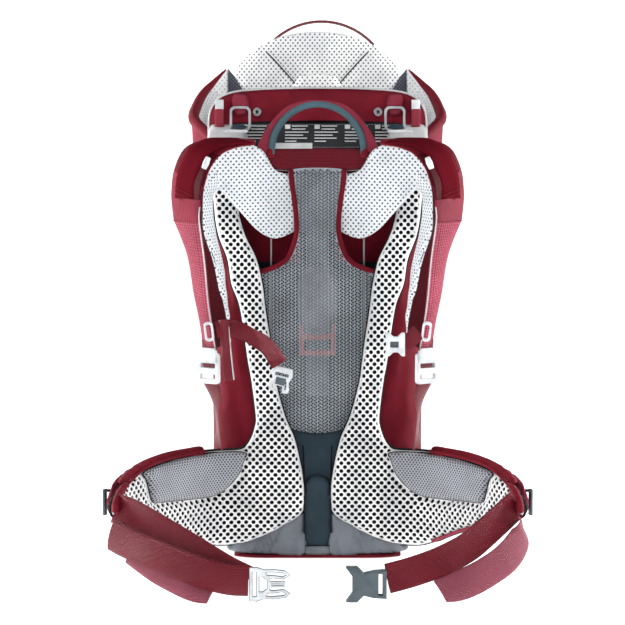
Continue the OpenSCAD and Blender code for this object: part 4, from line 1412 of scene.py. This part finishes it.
def front_wall():
    outline = [(-60, 519), (60, 519), (112, 530), (140, 545), (144, 580), (138, 604), (115, 620),
               (52, 626), (-52, 626), (-115, 620), (-138, 604), (-144, 580), (-140, 545), (-112, 530)]
    wall = pillow("front_wall", outline, -12, -4, M["cloth"], radius=3.5, crown=0.3, step=7, wrinkle=0.8,
                  back_crown=2.0)
    put(wall, "pack", "red_pack_cloth", "front_panel")
    rim = [(x, -8, z) for x, z in smooth_outline(outline, 4.0)]
    put(tube("front_piping", rim + rim[:1], 1.5, M["lining"], steps=1, closed=True), "pack",
        "white_dot_cloth")
    for side, word in SIDES:
        patch = [(-142, 549), (-98, 534), (-86, 546), (-98, 574), (-124, 578), (-142, 576)]
        put(pillow(f"corner_patch_{word}", patch, -14.5, -11.5, M["lining"], side, radius=3, step=5),
            "pack", "satin_lining")
    strip = pillow("front_band", [(-66, 520), (66, 520), (66, 546), (-66, 546)], -14, -11.5, M["web"],
                   radius=1.5, step=5)
    put(strip, "pack", "red_webbing")
    label = pillow("care_label", [(-112, 547.5), (112, 547.5), (112, 579.5), (-112, 579.5)], -13.4,
                   -12, M["label"], radius=0.8, step=8, corner=6)
    put(label, "pack", "label_black", "label_patch")
    blocks = [(-64, -7, 546.5, 554)]
    for x in (-97, -43, -4, 36, 76):
        blocks.append((x, x + 7, 572.5, 578))
        for k in range(6):
            wide = (30, 27, 31, 24, 29, 15)[k]
            blocks.append((x + (9 if k < 2 else 0), x + wide, 575.6 - 4.0 * k, 577.0 - 4.0 * k))
    verts, faces = [], []
    for x0, x1, z0, z1 in blocks:
        n = len(verts)
        verts += [(x0, -13.75, z0), (x1, -13.75, z0), (x1, -13.75, z1), (x0, -13.75, z1)]
        faces.append((n, n + 1, n + 2, n + 3))
    print_marks = make("label_marks", verts, faces, M["lining"], smooth=False)
    raised = print_marks.modifiers.new("raised", "SOLIDIFY")
    raised.thickness = 0.25 * MM
    put(apply_modifiers(print_marks), "pack", "label_black")
    for z in (548.5, 578.5):
        put(stitches(f"label_stitches_{int(z)}", [(-110, -13.6, z), (0, -13.6, z), (110, -13.6, z)],
                     M["net"], pitch=3.6, length=2.2, radius=0.3), "pack", "label_black")


front_wall()


def handles():
    arch = [(57.5 * math.cos(a), -30, 549 + 57.5 * math.sin(a)) for a in np.linspace(math.pi, 0, 25)]
    arch = [(-57.5, -30, 541)] + arch + [(57.5, -30, 541)]
    arch = [(x * (1.06 - 0.06 * (z - 541) / 66), y, z - 1.0) for x, y, z in arch]
    grip = tube("grab_handle_grip", arch, 4.7, M["slate_handle"], sides=16, steps=3)
    put(grip, "handle", "slate_cloth", "grab_handle")
    outer = [(-80, 542), (-78, 553), (-70, 569), (-61, 582), (-46, 598), (-32, 606), (-12, 610.5)]
    inner = [(-64, 542), (-64.5, 553), (-61.5, 566), (-55, 579), (-43, 592), (-30, 601), (-12, 607)]
    left = curve_points([(*a, *b) for a, b in zip(outer, inner)], 5)
    full = np.vstack([left, left[::-1] * (-1, 1, -1, 1)])
    verts = [(p[0], -31 + 1.6 * k, p[1]) if j == 0 else (p[2], -31 + 1.6 * k, p[3])
             for p in full for j, k in ((0, -1), (1, -1), (1, 1), (0, 1))]
    faces = [(4 * i + k, 4 * i + (k + 1) % 4, 4 * i + 4 + (k + 1) % 4, 4 * i + 4 + k)
             for i in range(len(full) - 1) for k in range(4)]
    faces += [(0, 3, 2, 1), tuple(4 * (len(full) - 1) + k for k in range(4))]
    tape = make("grab_handle_tape", verts, faces, M["side_cloth"])
    soft = tape.modifiers.new("soft", "BEVEL")
    soft.width, soft.segments, soft.limit_method = 0.9 * MM, 3, "ANGLE"
    tape = flat_shade(apply_modifiers(tape))
    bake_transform(tape)
    for x in (-62, 62):
        put(pillow(f"handle_root_{'left' if x < 0 else 'right'}",
                   [(x - 6, 536), (x + 6, 536), (x + 4, 549), (x - 4, 549)], -35, -25, M["cloth"],
                   radius=4, step=3), "handle", "red_pack_cloth")
    back = [[(6 + 100 * math.sin(a), 226.5, 619 + 100 * math.cos(a)), (0, 1, 0)]
            for a in np.linspace(math.radians(-48), math.radians(48), 17)]
    put(ribbon("rear_handle_webbing", back, 24, 3.8, M["web"], steps=4), "pack", "red_webbing",
        "rear_handle")


handles()

# --------------------------------------------------------------- bag and seat


def bags():
    bag = node_copy("bag_body", M["cloth"])
    simulated(bag, 7.0, 6.0, pressure=3.0, shrink=3.0, axis=0,
              grooves=[([(36, 150), (110, 158), (206, 150)], 5.0, 3.0)])
    put(bag, "pack", "red_pack_cloth", "bag_body")
    pocket = node_copy("rear_pocket", M["side_cloth"])
    simulated(pocket, 5.5, 6.0, pressure=3.0, shrink=2.5,
              grooves=[([(-96, 520), (0, 512), (96, 520)], 4.0, 3.0)])
    put(pocket, "pack", "red_side_cloth", "rear_pocket")
    rear = [(-126, 290), (126, 290), (124, 610), (116, 638), (96, 660), (72, 680), (42, 694),
            (-42, 694), (-72, 680), (-96, 660), (-116, 638), (-124, 610)]
    wall = pillow("rear_wall", rear, 207.5, 213.5, M["cloth"], radius=4, step=9, crown=1.0, wrinkle=2.0,
                  grooves=[([(-126, 564), (126, 564)], 3, 1.5)])
    paint(wall, M["lining"], lambda c, n: n[1] < -0.2 and c[2] < 560)
    put(wall, "pack", "red_pack_cloth", "cockpit_rear")
    zip_line = [(-88, 243, 500), (-40, 246, 494), (0, 247, 492), (40, 246, 494), (88, 243, 500)]
    put(tube("rear_zip", zip_line, 1.6, M["under"], sides=8), "pack", "dark_plastic")


bags()


def seat():
    saddle = node_copy("seat_saddle", M["slate"])
    simulated(saddle, 5.0, 5.0, pressure=4.0, shrink=2.5, axis=2,
              grooves=[([(-30, 70), (-30, 190)], 4.0, 2.5), ([(30, 70), (30, 190)], 4.0, 2.5)])
    put(saddle, "seat", "slate_cloth", "seat_saddle")
    strap = ribbon("seat_front_webbing",
                   [[(0, 33, 372), (1, 0, 0)], [(0, 40, 350), (1, 0, 0)], [(0, 50, 325), (1, 0, 0)],
                    [(0, 55.2, 306), (1, 0, 0)]], 30, 2.2, M["web"], steps=8)
    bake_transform(strap)
    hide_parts("seat_strap")
    stations = [[[-56, 203, 560], [-26, 203, 560], 8], [[-54, 196, 500], [-24, 196, 500], 8],
                [[-50, 178, 440], [-20, 178, 440], 8], [[-42, 160, 408], [-13, 160, 402], 7],
                [[-34, 148, 394], [-12, 148, 389], 5]]
    for side, word in SIDES:
        pad = band_pad(f"harness_pad_{word}", stations, M["slate"], side, crown=1.5, wrinkle=1.0)
        put(pad, "pack", "slate_cloth", *once(side, "harness_straps"))
        put(tube(f"harness_edge_{word}", mirrored(rim_line(stations, 0.0, -3), side), 1.6, M["web"]),
            "pack", "red_webbing")


seat()


def lifters():
    for side, word in SIDES:
        line = [[(-102, -21, 577.5), (1, 0, 0)], [(-104, -27, 574.5), (1, 0, 0)],
                [(-107, -34, 573), (1, 0, 0)]]
        web = ribbon(f"lifter_webbing_{word}", line, 19, 1.3, M["slate"], side=side)
        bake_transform(web)
        if side == LEFT:
            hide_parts("load_lifters")
        tabs = pillow(f"ring_tab_{word}", [(-111, 593), (-93, 593), (-93, 617), (-111, 617)], -15.4,
                      -12.6, M["side_cloth"], side, radius=1.5, step=4, corner=4)
        put(tabs, "pack", "red_webbing", *once(side, "ring_tabs"))


lifters()


EYELET = (-80, 595)  # middle of the left frame screw


def front_hardware():
    for side, word in SIDES:
        put(plate(f"tab_ring_{word}", rounded_box(-102, 586, 28, 33, 7), -19.6, -15.8, M["ring_metal"],
                  holes=[rounded_box(-102, 586, 21.4, 26, 4.6)], bevel=1.5, side=side, segments=4), "pack",
            "light_plastic", *once(side, "rings"))
        x, z = EYELET
        circle = [(x + 4.7 * math.cos(a), -13.6, z + 4.7 * math.sin(a))
                  for a in np.linspace(0, 2 * math.pi, 25)]
        put(tube(f"eyelet_{word}", mirrored(circle, side), 1.3, M["steel"], steps=1, closed=True), "pack",
            "screw_steel", *once(side, "frame_screws"))
        disc = [(x + 4.0 * math.cos(a), z + 4.0 * math.sin(a)) for a in np.linspace(0, 6.283, 19)[:-1]]
        star = [(x + r * math.cos(a), z + r * math.sin(a)) for a, r in
                zip(np.linspace(0, 6.283, 13)[:-1], [2.7, 1.7] * 6)]
        put(plate(f"eyelet_core_{word}", disc, -13.4, -12.0, M["steel"], holes=[star], bevel=0.3,
                  side=side), "pack", "screw_steel")
        put(plate(f"eyelet_socket_{word}", star, -12.5, -12.1, M["rubber"], bevel=0.1, side=side), "pack",
            "dark_plastic")
        # the socket loop in the lightened webbing copy: painted light against the shade it sits in
        loop = [[(-129.5, -13, 575), (1, 0, 0)], [(-129.5, -19, 579), (1, 0, 0)],
                [(-129.5, -22.4, 587), (1, 0, 0)], [(-129.5, -21.6, 597), (1, 0, 0)],
                [(-129.5, -15, 601), (1, 0, 0)]]
        put(ribbon(f"socket_webbing_{word}", loop, 12, 1.6, M["lit_side_web"], side=side), "pack",
            "red_webbing")
        lever = [(-130, 556), (-104, 557), (-98, 552), (-90, 541), (-94, 539), (-103, 549), (-130, 549)]
        put(plate(f"lifter_lever_{word}", lever, -17.5, -14.5, M["light_plastic"], bevel=0.9, side=side,
                  holes=[[(-126, 551), (-118, 551), (-118, 554.5), (-126, 554.5)]]), "pack",
            "light_plastic")


front_hardware()


def wing(side, word):
    """The cloth that wraps a frame leg from the back pad round to the bag."""
    levels = [(66, -84), (150, -82), (191, -74), (235, -78), (264, -83), (334, -93), (367, -104),
              (401, -110), (434, -119), (470, -124), (512, -126)]
    heights = np.arange(66, 513, 9.0)
    inner = np.interp(heights, [z for z, _ in levels], [x for _, x in levels])
    verts, faces, around = [], [], 22
    for z, x_in in zip(heights, inner):
        plan = [(x_in, -7), (x_in - 3, -11), (x_in - 12, -12), (-118 if x_in > -112 else -127, -8.5),
                (-131, -1), (-137.5, 9), (-140, 20), (-140, 31)]
        line = curve_points(plan, 6)
        run = lengths(line)
        for k in range(around):
            at = run[-1] * k / (around - 1)
            x, y = np.interp(at, run, line[:, 0]), np.interp(at, run, line[:, 1])
            fold = 3.0 * noise.noise(Vector((x * 0.07 + z * 0.015, z * 0.020, 5.0)))
            fold += 1.3 * noise.noise(Vector((x * 0.12 - z * 0.05, z * 0.06, 2.0)))
            near = min(1.0, k / 3, (around - 1 - k) / 4)
            verts.append((x + 0.4 * fold * near, min(max(y + (1.5 + fold) * near, -12.8), 31), z))
    for i in range(len(heights) - 1):
        for k in range(around - 1):
            a = i * around + k
            faces.append((a, a + 1, a + around + 1, a + around))
    shell = finish_side(make(f"leg_wing_{word}", mirrored(verts, side), faces, M["cloth"]), side)
    thicken(shell, 2.0)
    fine = shell.modifiers.new("fine", "SUBSURF")
    fine.levels = fine.render_levels = 1
    apply_modifiers(shell)
    put(shell, "pack", "red_pack_cloth", f"side_sleeve_{word}")


both_sides(wing)


def pull_loop():
    """The loop that sets the back length, and the band that it hangs on."""
    outer = [(-24, 270), (24, 270), (24, 312), (20.5, 312), (20.5, 300), (-20.5, 300), (-20.5, 312),
             (-24, 312)]
    put(plate("pull_loop", outer, -8, -5, M["coral"], bevel=0.8,
              holes=[[(-17.5, 277), (17.5, 277), (17.5, 291), (-17.5, 291)]]), "straps", "coral_webbing",
        "pull_tab")
    band = [(-21, 301), (21, 301), (22, 385), (-22, 385)]
    put(pillow("pull_band", band, -8.2, -5.2, M["net_band"], radius=1.2, step=8), "straps", "net_grey")


pull_loop()


def stirrups():
    for side, word in SIDES:
        route = [[(-107, 70.5, 224), (0, 1, 0)], [(-107, 70.5, 180), (0, 1, 0)],
                 [(-107, 70.5, 112), (0, 1, 0)]]
        strap = ribbon(f"stirrup_webbing_{word}", route, 25, 1.8, M["web"], side=side, steps=6)
        put(strap, "pack", "red_webbing", *once(side, "stirrup_straps"))
        moulded(f"stirrup_{word}", M["web_flat"], f"stirrup_{word}", "red_webbing", 1.2)


stirrups()

# --------------------------------------------------------- moulded hardware

HARDWARE = [
    ("slide_rail", "dark_plastic", "pack", "dark_plastic", 0.8),
    ("canopy_sockets", "light_plastic", "pack", "light_plastic", 0.8),
    ("yoke", "dark_plastic", "straps", "dark_plastic", 0.5),
    ("waist_buckle_socket", "dark_plastic", "hip_right", "dark_plastic", 1.2),
    ("zip_pull_left", "dark_plastic", "zip_left", "dark_plastic", 0.7),
    ("zip_pull_right", "dark_plastic", "zip_right", "dark_plastic", 0.7),
    ("harness_buckle", "dark_plastic", "pack", "dark_plastic", 1.0),
    ("harness_button", "button", "button", "red_button", 1.0),
    ("foot_grips", "rubber", "kickstand", "black_rubber", 0.6)]
for node, finish, body, slot_name, width in HARDWARE:
    moulded(node, M[finish], body, slot_name, width)


def edge_line(name, outline, front, mat, body, slot_name, turn=None, side=LEFT):
    """A painted dark line for the shade that the rim of a clear moulding shows."""
    ring = np.array([(x, front, z) for x, z in [*outline, outline[0]]], float)
    ring = ring if turn is None else turn(ring)
    put(tube(name, mirrored(ring, side), 0.55, mat, sides=6, steps=1, closed=True), body, slot_name)


def buckle_tongue():
    """The waist tongue: a bar with a slot for the webbing, a guide, and two sprung loops."""
    half = [(0, 0), (9, -0.5), (18, 2.5), (30, 2.2), (44, 4), (50, 9), (42, 14), (30, 12.5), (25, 13),
            (25, 17.3), (44, 17.3)]
    outline = half + [(x, 41 - z) for x, z in half[::-1]]
    loops = [(27, 5), (42, 6.3), (45.5, 9), (40.5, 11.3), (29, 9.6), (22, 9.6), (20, 5.5)]
    holes = [[(3.6, 5), (8.6, 5), (8.6, 36), (3.6, 36)], loops, [(x, 41 - z) for x, z in loops[::-1]],
             [(12, 11), (16, 11), (22, 15), (22, 26), (16, 30), (12, 30)],
             [(27, 19.2), (42, 19.2), (42, 21.8), (27, 21.8)]]

    def stand(v):
        return v + np.array([-84, -291.5, 3])
    put(plate("waist_tongue", outline, -3, 3, M["light_plastic"], holes=holes, bevel=0.9, turn=stand,
              segments=2), "hip_left", "clear_plastic", "waist_buckle_tongue")
    # painted dark lines round the tongue's rim and openings, for the shade that a clear moulding shows there
    for i, ring in enumerate([outline, *holes]):
        edge_line(f"waist_tongue_rim_shade_{i}", ring, -2.6, M["dark_plastic"], "hip_left", "clear_plastic", stand)


def base():
    """The stiffened floor of the carrier, with a low front lip."""
    profile = [(-36, 0.4), (-37, 1.8), (-35.5, 3.4), (-30, 4.0), (-17, 4.2), (-16, 9), (31, 9), (33, 7.5),
               (33, 1), (31, 0.2), (-33, 0.2)]
    verts, faces, n = [], [], len(profile)
    stops = [(-112, 0.6), (-108, 0.72), (-98, 0.86), (-84, 0.97), (-70, 1.0), (70, 1.0), (84, 0.97),
             (98, 0.86), (108, 0.72), (112, 0.6)]
    for x, grow in stops:
        verts += [(x, y * grow if y < 0 else y, z) for y, z in profile]
    for i in range(len(stops) - 1):
        faces += [(i * n + k, i * n + (k + 1) % n, (i + 1) * n + (k + 1) % n, (i + 1) * n + k)
                  for k in range(n)]
    faces += [tuple(range(n))[::-1], tuple((len(stops) - 1) * n + k for k in range(n))]
    board = flat_shade(make("base_floor", verts, faces, M["cloth"]), 0.7)
    put(board, "pack", "red_pack_cloth", "base_board")


def ladder_locks():
    """The adjusters under the straps, and the small ones on top that take the load lifters."""
    for side, word in SIDES:
        spin = turned(0, 0, -32)

        def stand(v):
            return v @ spin.T + np.array([-152, -96, 246])
        body = rounded_box(16, 20, 32, 40, 4)
        bars = [rounded_box(16, 9.5, 23, 6.5, 1.5), rounded_box(16, 23.5, 23, 6.5, 1.5)]
        put(plate(f"ladder_lock_{word}", body, -7.5, -1.5, M["light_plastic"], holes=bars, bevel=1.8,
                  side=side, turn=stand, segments=4), "straps", "light_plastic",
            *once(side, "strap_buckles"))
        lever = [(1, 26), (31, 26), (30, 42), (25, 45), (7, 45), (2, 42)]

        def tilt(v):
            return stand((v - (0, 0, 28)) @ turned(-14, 0, 0).T + (0, -2, 28))
        put(plate(f"ladder_lever_{word}", lever, -9.0, -6.0, M["light_plastic"], bevel=1.4, side=side,
                  turn=tilt, segments=4), "straps", "light_plastic")
        put(plate(f"lifter_lock_{word}", rounded_box(-108, 570, 32, 3.6, 1.5), -44, -36,
                  M["light_plastic"], bevel=0.8, side=side), "straps", "light_plastic")


buckle_tongue()
base()
ladder_locks()

FINISH = {"alu": ["frame_hoop", "frame_rail_left", "frame_rail_right", "kickstand"],
          "stay": ["back_stays"], "steel": ["kickstand_pins"]}
for finish, nodes in FINISH.items():
    for node in nodes:
        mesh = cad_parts[node].data
        mesh.materials.clear()
        mesh.materials.append(M[finish])

# ------------------------------------------------------------ camera and stage


def area_light(name, place, aim, size, power):
    light = bpy.data.lights.new(name, "AREA")
    light.shape = "DISK"
    light.size = size
    light.energy = power
    obj = bpy.data.objects.new(name, light)
    obj.location = place
    obj.rotation_euler = (Vector(aim) - Vector(place)).to_track_quat("-Z", "Y").to_euler()
    bpy.context.scene.collection.objects.link(obj)


SWEEP_SIDES = 48
SWEEP_RADIUS = 9000
SWEEP_HEIGHT = 3200


def studio():
    scene = bpy.context.scene
    world = bpy.data.worlds.new("studio")
    world.use_nodes = True
    world.node_tree.nodes["Background"].inputs[0].default_value = (1, 1, 1, 1)
    world.node_tree.nodes["Background"].inputs[1].default_value = 0.07
    scene.world = world
    scene.view_settings.view_transform = "Standard"
    rise = [(8000, 0), (8500, 60), (8900, 300), (SWEEP_RADIUS, 700)]
    profile = [(0, 0), (4000, 0), *[tuple(p) for p in curve_points(rise, 6)],
               (SWEEP_RADIUS, SWEEP_HEIGHT)]
    verts = [(r * math.cos(a), r * math.sin(a), z - 0.5) for r, z in profile
             for a in np.linspace(0, 2 * math.pi, SWEEP_SIDES, endpoint=False)]
    faces = [(i * SWEEP_SIDES + k, i * SWEEP_SIDES + (k + 1) % SWEEP_SIDES,
              (i + 1) * SWEEP_SIDES + (k + 1) % SWEEP_SIDES, (i + 1) * SWEEP_SIDES + k)
             for i in range(len(profile) - 1) for k in range(SWEEP_SIDES)]
    paper = plastic("studio_paper", (0.92, 0.92, 0.92), 0.9)
    glow = paper.node_tree.nodes["Principled BSDF"].inputs
    glow["Emission Color"].default_value = (1, 1, 1, 1)
    glow["Emission Strength"].default_value = 0.75
    make("studio_sweep", verts, faces, paper)
    for side, word in SIDES:
        area_light(f"key_{word}", (side * 1.9, -0.9, 1.1), (side * 0.05, -0.1, 0.35), 0.6, 18)
    for side, word in SIDES:
        area_light(f"rim_{word}", (side * 1.3, 0.35, 0.7), (side * 0.15, 0, 0.35), 0.5, 18)
    area_light("front_top", (0, -1.1, 2.2), (0, 0, 0.3), 0.5, 10)


def camera():
    distance, lift = 3.0, math.radians(6.0)
    target = Vector((-0.0067, 0, 0.327))
    cam = bpy.data.cameras.new("camera")
    cam.sensor_width = 36
    cam.lens = 129.0
    obj = bpy.data.objects.new("camera", cam)
    back = Vector((0, -math.cos(lift), math.sin(lift)))
    obj.location = target + back * distance
    obj.rotation_euler = (-back).to_track_quat("-Z", "Y").to_euler()
    bpy.context.scene.collection.objects.link(obj)
    bpy.context.scene.camera = obj


studio()
camera()
